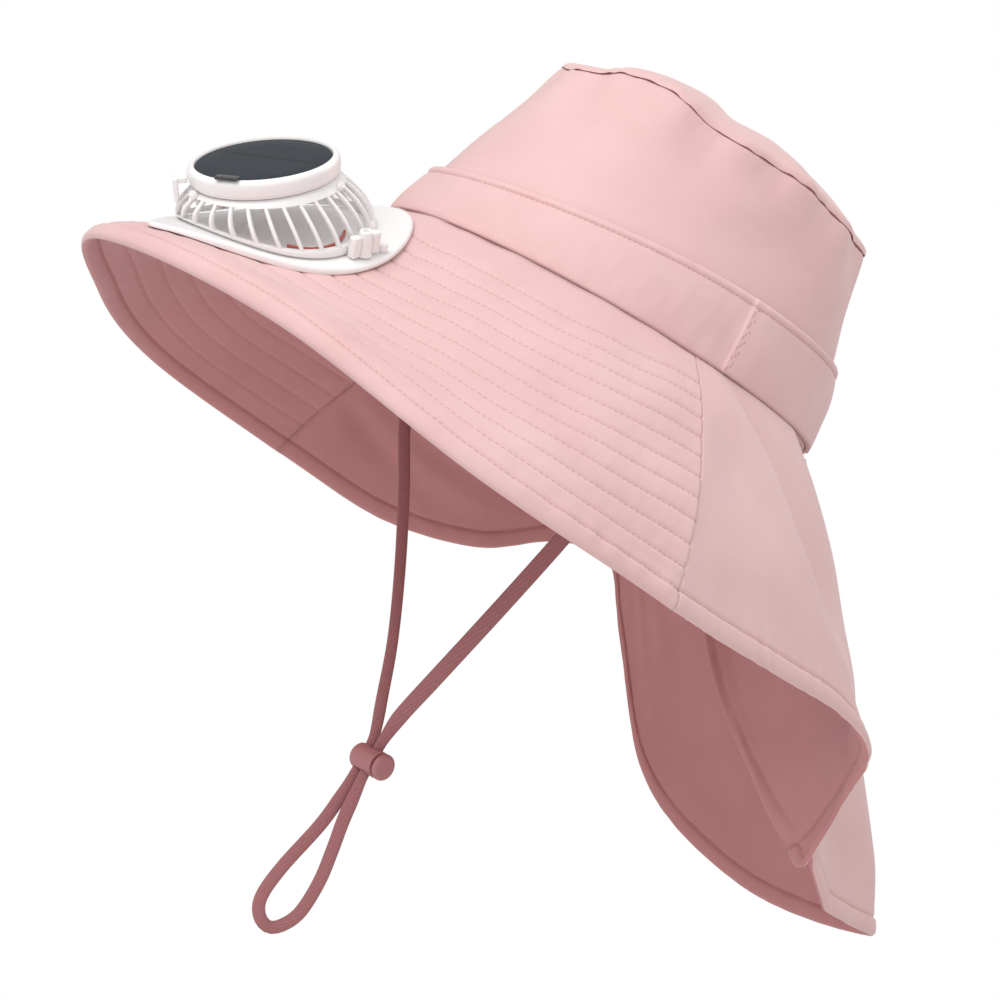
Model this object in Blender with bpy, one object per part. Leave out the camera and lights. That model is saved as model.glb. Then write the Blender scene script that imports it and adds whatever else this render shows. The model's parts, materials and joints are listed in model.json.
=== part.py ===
"""Sun hat with a neck flap and a solar fan on its brim, in metres, +Z up.

The hat stands level. Its front is -Y and the wearer's left is +X. The origin
is the middle of the head opening, at the height where crown and brim meet.
Lengths below are in millimetres, and every table holds shares of them.
"""
import math
from collections import namedtuple

import bmesh
import bpy
import numpy as np
from mathutils import Matrix, Vector

MM = 0.001

# Head opening, crown and band
HEAD_LENGTH = 190.0
HEAD_WIDTH = 166.0
CLOTH = 2.0
CLEARANCE = 0.3
CROWN_HEIGHT = 82.0
CROWN_LOWER_EDGE = -3.5
TIP_LENGTH = 146.0
TIP_WIDTH = 128.0
TIP_SHIFT = 8.0
TIP_RISE = 16.0
CROWN_SWELL = 1.2
GATHER_DEPTH = 1.3
GATHER_COUNT = 15
BAND_HEIGHT = 32.0
BAND_CLOTH = 2.0
BAND_LOWER_EDGE = -2.0
BAND_SWELL = 0.6
BAND_CLEARANCE = 0.4
BAND_LAP_ANGLE = 95.0
BAND_LAP_WIDTH = 5.0
BAND_LAP_STEP = 0.9

# Brim and neck flaps
BRIM_REACH = 104.0
BRIM_DROP = 94.0
BRIM_TOP = -2.6
BRIM_SEAT = 2 * CLOTH + 2 * CLEARANCE
HALF_WIDTH = 166.0
FLAP_BACK = 255.0
FLAP_DROP = 156.0
FLAP_LAP_LIFT = 3.4
HEM_WIDTH = 8.0
HEM_THICKNESS = 4.0
SEAM_GAP_ANGLE = 0.12

# Chin strap and its slider
STRAP_DIAMETER = 4.4
STRAP_POINT_SPACING = 10.0
SLIDER_CENTRE = (0.0, 2.21, -196.3)
SLIDER_TURN = 18.0
SLIDER_DIAMETER = 11.0
SLIDER_WALL = 1.2
SLIDER_EDGE = 1.2
SLIDER_MOUTH_EDGE = 0.6
SLOT_CLEARANCE = 0.4
STRAND_GAP = 0.5
BUTTON_DIAMETER = 11.0
BUTTON_HEAD = 2.2
BUTTON_NECK = 7.0
BUTTON_RECESS = 1.5
BUTTON_TRAVEL = 1.0
BUTTON_EDGE = 0.8

# Fan: where it sits on the brim, its base, cage, housing, panel and impeller
FAN_ANGLE = 6.4
FAN_BRIM_SHARE = 0.49
FAN_HEADING = 14.0
FAN_TILT = 42.6
FAN_FORWARD = 3.5
FAN_HEIGHT = 30.2
BASE_THICKNESS = 2.6
BASE_CLEARANCE = 1.0
BASE_TOP = BASE_CLEARANCE + BASE_THICKNESS
BASE_EDGE = 1.0
BASE_REAR_RADIUS = 47.0
BASE_REAR_OFFSET = -8.0
BASE_TIP_RADIUS = 6.0
BASE_TIP_OFFSET = 48.0
CAGE_BOTTOM_RADIUS = 37.7
CAGE_TOP_RADIUS = 27.2
CAGE_WALL = 2.2
CAGE_SEAT = 0.7
CAGE_BULGE = 3.5
CAGE_RIBS = 28
RIB_SHARE = 0.42
HOUSING_RADIUS = 29.0
HOUSING_HEIGHT = 7.5
HOUSING_FLOOR = 1.6
PANEL_RADIUS = 26.0
PANEL_THICKNESS = 2.2
PANEL_RECESS = 0.5
MOTOR_RADIUS = 7.5
MOTOR_LENGTH = 6.0
SHAFT_RADIUS = 1.2
IMPELLER_RADIUS = 21.5
HUB_RADIUS = 9.5
HUB_THICKNESS = 2.2
BLADE_COUNT = 7
BLADE_HEIGHT = 7.0
BLADE_THICKNESS = 1.2
BLADE_SWEEP = 28.0
SHAFT_STICKS_OUT = 0.5
MOTOR_TO_HUB = 1.0
HUB_RIM = 3.0
BLADE_INSET = 0.8
LEAD_DIAMETER = 1.3
LEAD_SPACING = 5.0

# Small fittings round the cage. Angles are about the fan's axis, 0 at the wearer's left.
LATCH_ANGLE = -63.0
LATCH_SIZE = (3.0, 9.6, 1.4)
RIM_RISE = 0.2
BRACKET_ANGLE = -122.0
BRACKET_OFFSET = 5.0
BRACKET_SIZE = (2.0, 9.0, 9.0)
BRACKET_DEPTH = 7.8
BRACKET_HOOK = (7.0, 2.2)
BOSS_RADIUS = 1.5
BOSS_LENGTH = 2.0
BOSS_SHARE = 0.89
POST_SIDE = 2.8
POST_ALONG = -10.0
POST_RADIUS = 3.0
POST_TOP_RADIUS = 2.6
POST_BORE = 1.2
POST_HEIGHT = 10.0
POST_BLOCK = (3.6, 4.0, 8.6)
PEG_RADIUS = 2.0
PEG_HEIGHT = 2.6
PEG_SIDE = 3.3
PEG_ALONG = -20.0

BOSS_ANGLES = {"housing_boss_left": -98.0, "housing_boss_right": 32.0}
EASED_EDGE = 0.4

# Segment counts of the faceted shapes
CROWN_SEGMENTS = 60
FAN_SEGMENTS = 36
SMALL_SEGMENTS = 12
SLIDER_SEGMENTS = 20
IMPELLER_SEGMENTS = 20
MOTOR_SEGMENTS = 18

# Height of the tip seam round the crown, a share of CROWN_HEIGHT
CrownRow = namedtuple("CrownRow", "angle height")
CROWN_ROWS = [
    CrownRow(-180, 0.93),
    CrownRow(-120, 0.95),
    CrownRow(-60, 1.00),
    CrownRow(-30, 1.03),
    CrownRow(0, 0.99),
    CrownRow(38, 1.06),
    CrownRow(62, 0.99),
    CrownRow(95, 0.99),
    CrownRow(125, 0.95),
    CrownRow(180, 0.93),
]

# Height of the band round the crown, a share of BAND_HEIGHT
BandRow = namedtuple("BandRow", "angle height")
BAND_ROWS = [
    BandRow(-180, 1.00),
    BandRow(-90, 0.95),
    BandRow(0, 0.66),
    BandRow(90, 0.95),
    BandRow(180, 1.00),
]

# Soft dents and swells of the crown side. depth is a share of CROWN_HEIGHT,
# up a share of the height, spread the half width in degrees.
DentRow = namedtuple("DentRow", "angle up spread rise depth")
CROWN_DENTS = [
    DentRow(22, 0.72, 16, 0.22, 0.030),
    DentRow(48, 0.55, 20, 0.25, -0.018),
    DentRow(66, 0.85, 12, 0.14, 0.030),
    DentRow(95, 0.62, 16, 0.20, 0.022),
    DentRow(128, 0.70, 18, 0.24, -0.016),
    DentRow(165, 0.60, 20, 0.25, 0.024),
    DentRow(-40, 0.65, 20, 0.24, 0.024),
    DentRow(-95, 0.55, 22, 0.26, -0.020),
    DentRow(-140, 0.70, 18, 0.22, 0.026),
]

# Front brim from side seam to side seam: reach out, bow and lip are shares of
# BRIM_REACH, drop of BRIM_DROP. A negative bow sags below the straight line, and
# the lip swells up just inside the hem, so that the edge turns down.
BrimRow = namedtuple("BrimRow", "angle reach drop bow lip")
BRIM_ROWS = [
    BrimRow(-82, 0.80, 1.03, 0.06, 0.000),
    BrimRow(-60, 0.98, 0.97, 0.05, 0.000),
    BrimRow(-30, 0.90, 0.86, 0.06, 0.000),
    BrimRow(0, 1.00, 0.80, 0.00, 0.050),
    BrimRow(30, 0.95, 0.83, -0.05, 0.075),
    BrimRow(60, 0.96, 1.00, 0.05, 0.035),
    BrimRow(88, 0.81, 1.04, 0.09, 0.000),
]
LIP_STEEPNESS = 9

# Neck flap ribs. Each leaves the head opening at angle and ends on the hem at
# (x, y, z), shares of HALF_WIDTH, FLAP_BACK and FLAP_DROP. The bends move its
# middle by shares of the same three sizes.
FlapRow = namedtuple("FlapRow", "station angle x y z bend_x bend_y bend_z")
LEFT_FLAP_ROWS = [
    FlapRow(0, 88, 1.010, 0.00, 0.630, 0.03, 0.00, 0.055),
    FlapRow(1, 91, 0.930, 0.12, 0.620, 0.03, 0.00, 0.055),
    FlapRow(2, 94, 0.850, 0.27, 0.610, 0.03, 0.00, 0.050),
    FlapRow(3, 97, 0.745, 0.43, 0.600, 0.03, 0.00, 0.040),
    FlapRow(4, 101, 0.665, 0.54, 0.640, 0.04, 0.00, 0.000),
    FlapRow(5, 128, 0.530, 0.60, 0.760, 0.03, 0.02, 0.030),
    FlapRow(6, 156, 0.420, 0.64, 0.930, -0.05, -0.02, 0.000),
    FlapRow(7, 180, 0.370, 0.65, 0.955, -0.16, -0.12, 0.000),
]
RIGHT_FLAP_ROWS = [
    FlapRow(0, -82, -1.010, -0.075, 0.630, -0.03, 0.00, 0.055),
    FlapRow(1, -92, -0.940, 0.115, 0.640, -0.03, 0.00, 0.055),
    FlapRow(2, -102, -0.830, 0.265, 0.580, -0.03, 0.00, 0.050),
    FlapRow(3, -112, -0.745, 0.370, 0.455, -0.03, 0.01, 0.040),
    FlapRow(4, -122, -0.720, 0.470, 0.430, -0.03, 0.02, 0.040),
    FlapRow(5, -132, -0.710, 0.570, 0.620, -0.04, 0.02, 0.050),
    FlapRow(6, -142, -0.690, 0.700, 0.870, -0.05, 0.02, 0.070),
    FlapRow(7, -152, -0.620, 0.800, 0.980, -0.05, 0.03, 0.070),
    FlapRow(8, -163, -0.380, 0.885, 1.045, -0.02, 0.045, 0.060),
    FlapRow(9, -172, -0.170, 0.945, 1.040, 0.00, 0.045, 0.040),
    FlapRow(10, -180, 0.000, 1.000, 1.000, 0.00, 0.045, 0.020),
    FlapRow(11, -185, 0.125, 0.890, 1.010, 0.00, 0.030, 0.010),
    FlapRow(12, -189, 0.240, 0.765, 1.000, 0.00, 0.030, 0.000),
    FlapRow(13, -193, 0.310, 0.680, 0.880, 0.00, 0.020, 0.000),
]

# The motor lead's route on the base: sideways of the fan's middle, down the slope
LEAD_ROUTE = [(24.0, 14.0), (28.0, 10.0), (30.0, 3.0), (29.0, -5.0), (25.0, -12.0), (20.0, -17.0)]

# The chin strap's route, chosen by hand, from the left ear to the right ear
STRAP_ROUTE = [
    (77.6, 3.0, 8.0),
    (78.6, 3.0, -4.0),
    (76.0, 3.5, -20.0),
    (66.0, 4.5, -45.0),
    (50.0, 4.7, -82.8),
    (34.0, 3.7, -118.9),
    (18.0, 2.6, -153.0),
    (8.0, 2.0, -173.8),
    (3.8, 2.6, -183.6),
    (2.33, 2.97, -189.5),
    (2.33, 2.97, -196.3),
    (2.33, 2.97, -203.1),
    (2.5, 3.5, -209.7),
    (3.0, 4.4, -221.4),
    (3.5, 6.5, -234.9),
    (3.3, 8.3, -247.7),
    (2.0, 8.3, -261.4),
    (1.0, 5.2, -269.1),
    (-0.5, 0.5, -273.2),
    (-1.5, -5.3, -270.9),
    (-2.2, -8.2, -263.9),
    (-2.8, -6.3, -250.3),
    (-3.1, -0.4, -228.1),
    (-2.6, 1.2, -213.5),
    (-2.33, 1.45, -203.1),
    (-2.33, 1.45, -196.3),
    (-2.33, 1.45, -189.5),
    (-3.4, 0.7, -184.0),
    (-7.0, -1.8, -172.4),
    (-16.0, -6.0, -149.3),
    (-28.0, -13.4, -121.5),
    (-39.5, -23.0, -93.5),
    (-52.5, -33.3, -64.6),
    (-65.0, -34.5, -36.0),
    (-72.5, -31.5, -16.0),
    (-73.8, -30.2, -4.0),
    (-73.0, -30.0, 8.0),
]


def hermite(rows, key, column):
    """Reads a column smoothly between the rows of a table, by its first column."""
    keys = [row[0] for row in rows]
    last = len(rows) - 1
    i = 0
    while i < last - 1 and key > keys[i + 1]:
        i += 1
    span = keys[i + 1] - keys[i] if keys[i + 1] != keys[i] else 1.0
    t = min(max((key - keys[i]) / span, 0.0), 1.0)
    start, end = getattr(rows[i], column), getattr(rows[i + 1], column)
    before = slope(rows, i - 1, i + 1, column) if i > 0 else (end - start) / span
    after = slope(rows, i, i + 2, column) if i + 2 <= last else (end - start) / span
    return ((2 * t ** 3 - 3 * t ** 2 + 1) * start + (t ** 3 - 2 * t ** 2 + t) * span * before
            + (3 * t ** 2 - 2 * t ** 3) * end + (t ** 3 - t ** 2) * span * after)


def slope(rows, i, j, column):
    """The mean slope of a column between two rows."""
    return (getattr(rows[j], column) - getattr(rows[i], column)) / (rows[j][0] - rows[i][0])


def smooth_step(value):
    """0 below 0, 1 above 1, and smooth between."""
    value = min(max(value, 0.0), 1.0)
    return value * value * (3 - 2 * value)


def outward(angle):
    """Horizontal direction out of the head opening at an angle, 0 at the front."""
    a = math.radians(angle)
    normal = Vector((math.sin(a) / HEAD_WIDTH, -math.cos(a) / HEAD_LENGTH, 0.0))
    return normal.normalized()


def ring_point(angle, offset, height):
    """A point round the head opening, offset outwards."""
    a = math.radians(angle)
    base = Vector((HEAD_WIDTH / 2 * math.sin(a), -HEAD_LENGTH / 2 * math.cos(a), height))
    return base + outward(angle) * offset


def crown_height(angle):
    """Height of the tip seam, which dips and rises with the soft cloth."""
    return CROWN_HEIGHT * hermite(CROWN_ROWS, (angle + 180) % 360 - 180, "height")


def crown_dent(angle, share):
    """Depth of the soft dents at a place of the crown side."""
    total = 0.0
    for dent in CROWN_DENTS:
        turn = (angle - dent.angle + 180) % 360 - 180
        away = (turn / dent.spread) ** 2 + ((share - dent.up) / dent.rise) ** 2
        total += dent.depth * CROWN_HEIGHT * math.exp(-away)
    return total


def crown_point(angle, height, offset):
    """The crown side's outer face at a height, offset outwards."""
    top = crown_height(angle)
    share = min(max(height / top, 0.0), 1.0)
    a = math.radians(angle)
    half_width = HEAD_WIDTH / 2 + CLOTH
    half_length = HEAD_LENGTH / 2 + CLOTH
    rx = half_width + (TIP_WIDTH / 2 - half_width) * share
    ry = half_length + (TIP_LENGTH / 2 - half_length) * share
    above_band = smooth_step((height - BAND_HEIGHT) / (0.3 * CROWN_HEIGHT))
    dent = crown_dent(angle, share) * above_band
    gather = GATHER_DEPTH * smooth_step((share - 0.72) / 0.28) * math.cos(GATHER_COUNT * a)
    swell = CROWN_SWELL * math.sin(math.pi * share)
    centre = Vector((rx * math.sin(a), -ry * math.cos(a) + TIP_SHIFT * share, height))
    return centre + outward(angle) * (offset + swell + gather - dent)


def band_top(angle):
    """Height of the band's upper edge."""
    return BAND_HEIGHT * hermite(BAND_ROWS, angle, "height")


def brim_point(angle, share):
    """The front brim's upper face; share runs from the head opening to the hem."""
    reach = BRIM_REACH * hermite(BRIM_ROWS, angle, "reach")
    drop = BRIM_DROP * hermite(BRIM_ROWS, angle, "drop")
    bow = BRIM_REACH * hermite(BRIM_ROWS, angle, "bow") * 4 * share * (1 - share)
    near_hem = share ** LIP_STEEPNESS
    bow += BRIM_REACH * hermite(BRIM_ROWS, angle, "lip") * 4 * near_hem * (1 - near_hem)
    length = math.hypot(reach, drop)
    out = reach * share + bow * drop / length
    down = BRIM_TOP - (drop + BRIM_TOP) * share + bow * reach / length
    start = ring_point(angle, BRIM_SEAT, 0.0)
    return start + outward(angle) * out + Vector((0, 0, down))


def rib_point(row, share, lift):
    """A point down a flap's rib, its top lifted off the head opening."""
    top = ring_point(row.angle, BRIM_SEAT + lift, BRIM_TOP)
    end = Vector((HALF_WIDTH * row.x, FLAP_BACK * row.y, -FLAP_DROP * row.z))
    bend = Vector((HALF_WIDTH * row.bend_x, FLAP_BACK * row.bend_y, FLAP_DROP * row.bend_z))
    return top.lerp(end, share) + bend * 4 * share * (1 - share)


def flap_point(rows, station, share, lift):
    """A neck flap's outer face; the first rib follows the brim's end seam."""
    row = FlapRow(station, *(hermite(rows, station, column) for column in FlapRow._fields[1:]))
    point = rib_point(row, share, lift)
    if station < 1:
        seam = brim_point(rows[0].angle, share) - rib_point(rows[0], share, 0.0)
        point += seam * (1 - smooth_step(station))
    return point


def material(name, colour, roughness, metallic=0.0):
    """A plain material for one piece."""
    made = bpy.data.materials.new(name)
    made.use_nodes = True
    shader = made.node_tree.nodes["Principled BSDF"]
    shader.inputs["Base Color"].default_value = (*colour, 1.0)
    shader.inputs["Roughness"].default_value = roughness
    shader.inputs["Metallic"].default_value = metallic
    made.diffuse_color = (*colour, 1.0)
    return made


def add_object(name, bm, finish, smooth_angle=40.0):
    """Turns a bmesh in millimetres into a named object in metres."""
    bmesh.ops.remove_doubles(bm, verts=bm.verts, dist=0.0005)
    bmesh.ops.recalc_face_normals(bm, faces=bm.faces)
    bmesh.ops.scale(bm, vec=(MM, MM, MM), verts=bm.verts)
    mesh = bpy.data.meshes.new(name)
    bm.to_mesh(mesh)
    bm.free()
    mesh.shade_smooth()
    mesh.set_sharp_from_angle(angle=math.radians(smooth_angle))
    made = bpy.data.objects.new(name, mesh)
    made.data.materials.append(finish)
    bpy.context.collection.objects.link(made)
    return made


def grid_normals(points):
    """Unit normals of a grid of points, one for each point."""
    normals = np.cross(np.gradient(points, axis=0), np.gradient(points, axis=1))
    return normals / np.linalg.norm(normals, axis=2, keepdims=True)


def wall_mesh(outer, inner, closed):
    """A closed solid between two grids of the same size, round and closed if asked."""
    count_u, count_v = outer.shape[:2]
    bm = bmesh.new()
    faces = []
    verts = [[[bm.verts.new(p) for p in line] for line in grid] for grid in (outer, inner)]

    def quad(a, b, c, d):
        faces.append(bm.faces.new((a, b, c, d)))

    last_u = count_u if closed else count_u - 1
    for i in range(last_u):
        k = (i + 1) % count_u
        for j in range(count_v - 1):
            quad(verts[0][i][j], verts[0][k][j], verts[0][k][j + 1], verts[0][i][j + 1])
            quad(verts[1][i][j], verts[1][i][j + 1], verts[1][k][j + 1], verts[1][k][j])
        for j in (0, count_v - 1):
            quad(verts[0][i][j], verts[1][i][j], verts[1][k][j], verts[0][k][j])
    if not closed:
        for i in (0, count_u - 1):
            for j in range(count_v - 1):
                quad(verts[0][i][j], verts[0][i][j + 1], verts[1][i][j + 1], verts[1][i][j])
    return bm


def cloth_wall(name, outer, finish, roll, clockwise=False):
    """A cloth wall under a grid of its outer face, with a thicker rolled hem."""
    points = np.array([[tuple(p) for p in line] for line in outer])
    normals = grid_normals(points) * (1.0 if clockwise else -1.0)
    extra = roll * (HEM_THICKNESS - CLOTH) / 2
    raised = points + normals * extra[:, :, None]
    lowered = points - normals * (CLOTH + extra)[:, :, None]
    return add_object(name, wall_mesh(raised, lowered, False), finish)


def hem_shares(length, rows):
    """Shares down a rib: even rows, then a short step where the hem thickens."""
    start = 1 - HEM_WIDTH / length
    step = 0.8 / length
    shares = [start * k / rows for k in range(rows)]
    return shares + [start - step, start, 1 - 1.2 / length, 1.0]


def hem_roll(shares, columns, side_columns=()):
    """1 where the wall is rolled thick, 0 elsewhere; the very edge is rounded off."""
    roll = np.zeros((columns, len(shares)))
    roll[:, -3:-1] = 1.0
    roll[:, -1] = 0.4
    for column, amount in side_columns:
        edge = np.array([amount * smooth_step((share - 0.1) / 0.15) for share in shares])
        roll[column, :] = np.maximum(roll[column, :], edge)
    return roll


def build_crown_side(finish):
    """The crown side, gathered under the tip seam and open below."""
    heights = [CROWN_LOWER_EDGE, 0.42 * CROWN_HEIGHT, 0.62 * CROWN_HEIGHT, 0.82 * CROWN_HEIGHT, CROWN_HEIGHT]
    outer = []
    inner = []
    for i in range(CROWN_SEGMENTS):
        angle = 360.0 * i / CROWN_SEGMENTS - 180.0
        fit = crown_height(angle) / CROWN_HEIGHT
        levels = [heights[0]] + [h * fit for h in heights[1:]]
        outer.append([tuple(crown_point(angle, h, 0.0)) for h in levels])
        inner.append([tuple(crown_point(angle, h, -CLOTH)) for h in levels])
    return add_object("crown_side", wall_mesh(np.array(outer), np.array(inner), True), finish)


def build_crown_tip(finish):
    """The domed tip, seated on the crown side's upper edge."""
    shares = [0.0, 0.5, 0.84, 1.0]
    middle = Vector((0, TIP_SHIFT, (crown_height(0) + crown_height(180)) / 2))
    outer = []
    inner = []
    for i in range(CROWN_SEGMENTS):
        angle = 360.0 * i / CROWN_SEGMENTS - 180.0
        height = crown_height(angle)
        rim = crown_point(angle, height, 0.0)
        top_line = []
        under_line = []
        for share in shares:
            flat = middle.lerp(rim, share)
            rise = TIP_RISE * (1 - share ** 2.4)
            seat = CLEARANCE + CLOTH
            top_line.append(tuple(flat + Vector((0, 0, rise + seat))))
            under_line.append(tuple(flat + Vector((0, 0, rise + seat - CLOTH))))
        outer.append(top_line)
        inner.append(under_line)
    return add_object("crown_tip", wall_mesh(np.array(outer), np.array(inner), True), finish)


def build_band(finish):
    """The band round the crown, lapped at the wearer's left."""
    outer = []
    inner = []
    for i in range(CROWN_SEGMENTS):
        angle = 360.0 * i / CROWN_SEGMENTS - 180.0
        inside_lap = abs(angle - BAND_LAP_ANGLE - BAND_LAP_WIDTH / 2) <= BAND_LAP_WIDTH / 2
        lap = BAND_LAP_STEP if inside_lap else 0.0
        top = band_top(angle)
        levels = [BAND_LOWER_EDGE, top * 0.5, top]
        swell = [0.0, BAND_SWELL, 0.0]
        outer.append([tuple(crown_point(angle, h, BAND_CLEARANCE + BAND_CLOTH + lap + s))
                      for h, s in zip(levels, swell)])
        inner.append([tuple(crown_point(angle, h, BAND_CLEARANCE)) for h in levels])
    return add_object("crown_band", wall_mesh(np.array(outer), np.array(inner), True), finish)


def build_front_brim(finish):
    """The stiff quilted brim between the side seams."""
    start = BRIM_ROWS[0].angle + SEAM_GAP_ANGLE
    end = BRIM_ROWS[-1].angle - SEAM_GAP_ANGLE
    columns = 35
    shares = hem_shares(math.hypot(BRIM_REACH, BRIM_DROP), 6)
    outer = [[tuple(brim_point(start + (end - start) * i / (columns - 1), s)) for s in shares]
             for i in range(columns)]
    return cloth_wall("front_brim", outer, finish, hem_roll(shares, columns))


def build_flap(name, rows, lift, finish, per_station):
    """A half of the neck flap, with its hem turned up the centre back edge."""
    last = rows[-1].station
    first = SEAM_GAP_ANGLE / abs(rows[1].angle - rows[0].angle)
    rib_spacing = (rib_point(rows[-1], 0.6, 0.0) - rib_point(rows[-2], 0.6, 0.0)).length
    edge = last - HEM_WIDTH / rib_spacing
    stations = [first] + [k / per_station for k in range(1, last * per_station) if k / per_station < edge - 0.1]
    stations += [edge - 0.03, edge, last]
    shares = hem_shares(math.hypot(FLAP_BACK - HEAD_LENGTH / 2, FLAP_DROP), 5)
    outer = []
    for station in stations:
        angle = abs(hermite(rows, station, "angle"))
        raised = lift * smooth_step((angle - 150.0) / 22.0)
        outer.append([tuple(flap_point(rows, station, s, raised)) for s in shares])
    side = [(-2, 1.0), (-1, 0.6)]
    return cloth_wall(name, outer, finish, hem_roll(shares, len(stations), side), rows[-1].angle < 0)


def cords_curve(name, route, diameter, spacing, finish):
    """A round cord along a smooth curve through a route's points."""
    points = [Vector(p) for p in route]
    dense = []
    for i in range(len(points) - 1):
        before = points[max(i - 1, 0)]
        after = points[min(i + 2, len(points) - 1)]
        a, b = points[i], points[i + 1]
        for k in range(12):
            t = k / 12
            dense.append(0.5 * (2 * a + (b - before) * t + (2 * before - 5 * a + 4 * b - after) * t * t
                                + (3 * a - before - 3 * b + after) * t ** 3))
    dense.append(points[-1])
    lengths = [0.0]
    for a, b in zip(dense, dense[1:]):
        lengths.append(lengths[-1] + (b - a).length)
    count = max(4, round(lengths[-1] / spacing))
    even = []
    for k in range(count + 1):
        target = lengths[-1] * k / count
        j = min(max(int(np.searchsorted(lengths, target)), 1), len(dense) - 1)
        part = (target - lengths[j - 1]) / (lengths[j] - lengths[j - 1])
        even.append(dense[j - 1].lerp(dense[j], part))
    curve = bpy.data.curves.new(name, "CURVE")
    curve.dimensions = "3D"
    curve.bevel_depth = diameter / 2 * MM
    curve.bevel_resolution = 2
    curve.use_fill_caps = True
    line = curve.splines.new("POLY")
    line.points.add(len(even) - 1)
    for spot, p in zip(line.points, even):
        spot.co = (p.x * MM, p.y * MM, p.z * MM, 1.0)
    curve.materials.append(finish)
    made = bpy.data.objects.new(name, curve)
    bpy.context.collection.objects.link(made)
    return made


def turned(name, profile, segments, frame, finish, smooth_angle=40.0):
    """A solid turned from a closed profile of (radius, height) about a frame's Z."""
    bm = bmesh.new()
    loops = []
    for i in range(segments):
        a = 2 * math.pi * i / segments
        loops.append([bm.verts.new(frame @ Vector((r * math.cos(a), r * math.sin(a), z)))
                      for r, z in profile])
    for i in range(segments):
        k = (i + 1) % segments
        for j in range(len(profile)):
            n = (j + 1) % len(profile)
            if profile[j][0] < 1e-6 and profile[n][0] < 1e-6:
                continue
            bm.faces.new((loops[i][j], loops[k][j], loops[k][n], loops[i][n]))
    return add_object(name, bm, finish, smooth_angle)


def cylinder_profile(radius, low, high, edge):
    """A plain round bar's profile, with its edges eased."""
    return [(0.0, low), (radius - edge, low), (radius, low + edge), (radius, high - edge),
            (radius - edge, high), (0.0, high)]


def block(name, size, frame, finish, edge=0.5):
    """A box with eased edges, centred on a frame."""
    bm = bmesh.new()
    bmesh.ops.create_cube(bm, size=1.0)
    bmesh.ops.scale(bm, vec=size, verts=bm.verts)
    bmesh.ops.bevel(bm, geom=bm.edges[:], offset=edge, segments=1, affect="EDGES")
    bmesh.ops.transform(bm, matrix=frame, verts=bm.verts)
    return add_object(name, bm, finish, 25.0)


def boolean(target, tool, operation):
    """Adds a Boolean with the exact solver and keeps its tool out of the model."""
    modifier = target.modifiers.new(tool.name, "BOOLEAN")
    modifier.operation = operation
    modifier.solver = "EXACT"
    modifier.object = tool
    tool.hide_render = True
    tool.display_type = "WIRE"


def fan_heading():
    """Horizontal direction that the fan leans towards."""
    h = math.radians(FAN_HEADING)
    return Vector((math.sin(h), -math.cos(h), 0.0))


def fan_axis():
    """Unit vector up the fan's own axis."""
    t = math.radians(FAN_TILT)
    return fan_heading() * math.sin(t) + Vector((0, 0, math.cos(t)))


def base_surface(a, b, lift):
    """A point on the brim under the fan: a sideways, b down the slope."""
    step = 0.5
    centre = brim_point(FAN_ANGLE, FAN_BRIM_SHARE)
    sideways = (brim_point(FAN_ANGLE + step, FAN_BRIM_SHARE)
                - brim_point(FAN_ANGLE - step, FAN_BRIM_SHARE)).length / (2 * step)
    down = (brim_point(FAN_ANGLE, FAN_BRIM_SHARE + 0.05)
            - brim_point(FAN_ANGLE, FAN_BRIM_SHARE - 0.05)).length / 0.1
    angle, share = FAN_ANGLE + a / sideways, FAN_BRIM_SHARE + b / down
    point = brim_point(angle, share)
    along = brim_point(angle, share + 0.01) - point
    across = brim_point(angle + 0.5, share) - point
    normal = along.cross(across).normalized()
    if normal.z < 0:
        normal = -normal
    return point + normal * lift


def fan_frame():
    """Frame of the fan's head: origin at the panel's top, Z up its axis."""
    seat = base_surface(0.0, 0.0, 0.0)
    z_axis = fan_axis()
    x_axis = Vector((math.cos(math.radians(FAN_HEADING)), math.sin(math.radians(FAN_HEADING)), 0.0))
    y_axis = z_axis.cross(x_axis)
    origin = seat + z_axis * FAN_HEIGHT - y_axis * FAN_FORWARD
    return Matrix((
        (x_axis.x, y_axis.x, z_axis.x, origin.x),
        (x_axis.y, y_axis.y, z_axis.y, origin.y),
        (x_axis.z, y_axis.z, z_axis.z, origin.z),
        (0, 0, 0, 1)))


def seat_frame(a, b, lift):
    """Frame standing on the brim under the fan, Z square to the cloth."""
    point = base_surface(a, b, lift)
    z_axis = (base_surface(a, b, lift + 1.0) - point).normalized()
    x_axis = base_surface(a + 1.0, b, lift) - point
    y_axis = z_axis.cross(x_axis).normalized()
    x_axis = y_axis.cross(z_axis)
    return Matrix((
        (x_axis.x, y_axis.x, z_axis.x, point.x),
        (x_axis.y, y_axis.y, z_axis.y, point.y),
        (x_axis.z, y_axis.z, z_axis.z, point.z),
        (0, 0, 0, 1)))


def base_outline(count):
    """The base's drop-shaped outline: a round rear, narrowing to a blunt tip."""
    span = BASE_TIP_OFFSET - BASE_REAR_OFFSET
    lean = math.asin((BASE_REAR_RADIUS - BASE_TIP_RADIUS) / span)
    tip_count = count // 4
    points = []
    for k in range(tip_count):
        turn = lean + (math.pi - 2 * lean) * k / (tip_count - 1)
        points.append((BASE_TIP_RADIUS * math.cos(turn), BASE_TIP_OFFSET + BASE_TIP_RADIUS * math.sin(turn)))
    rear_count = count - tip_count
    for k in range(rear_count):
        turn = math.pi - lean + (math.pi + 2 * lean) * k / (rear_count - 1)
        points.append((BASE_REAR_RADIUS * math.cos(turn), BASE_REAR_OFFSET + BASE_REAR_RADIUS * math.sin(turn)))
    return points


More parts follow.
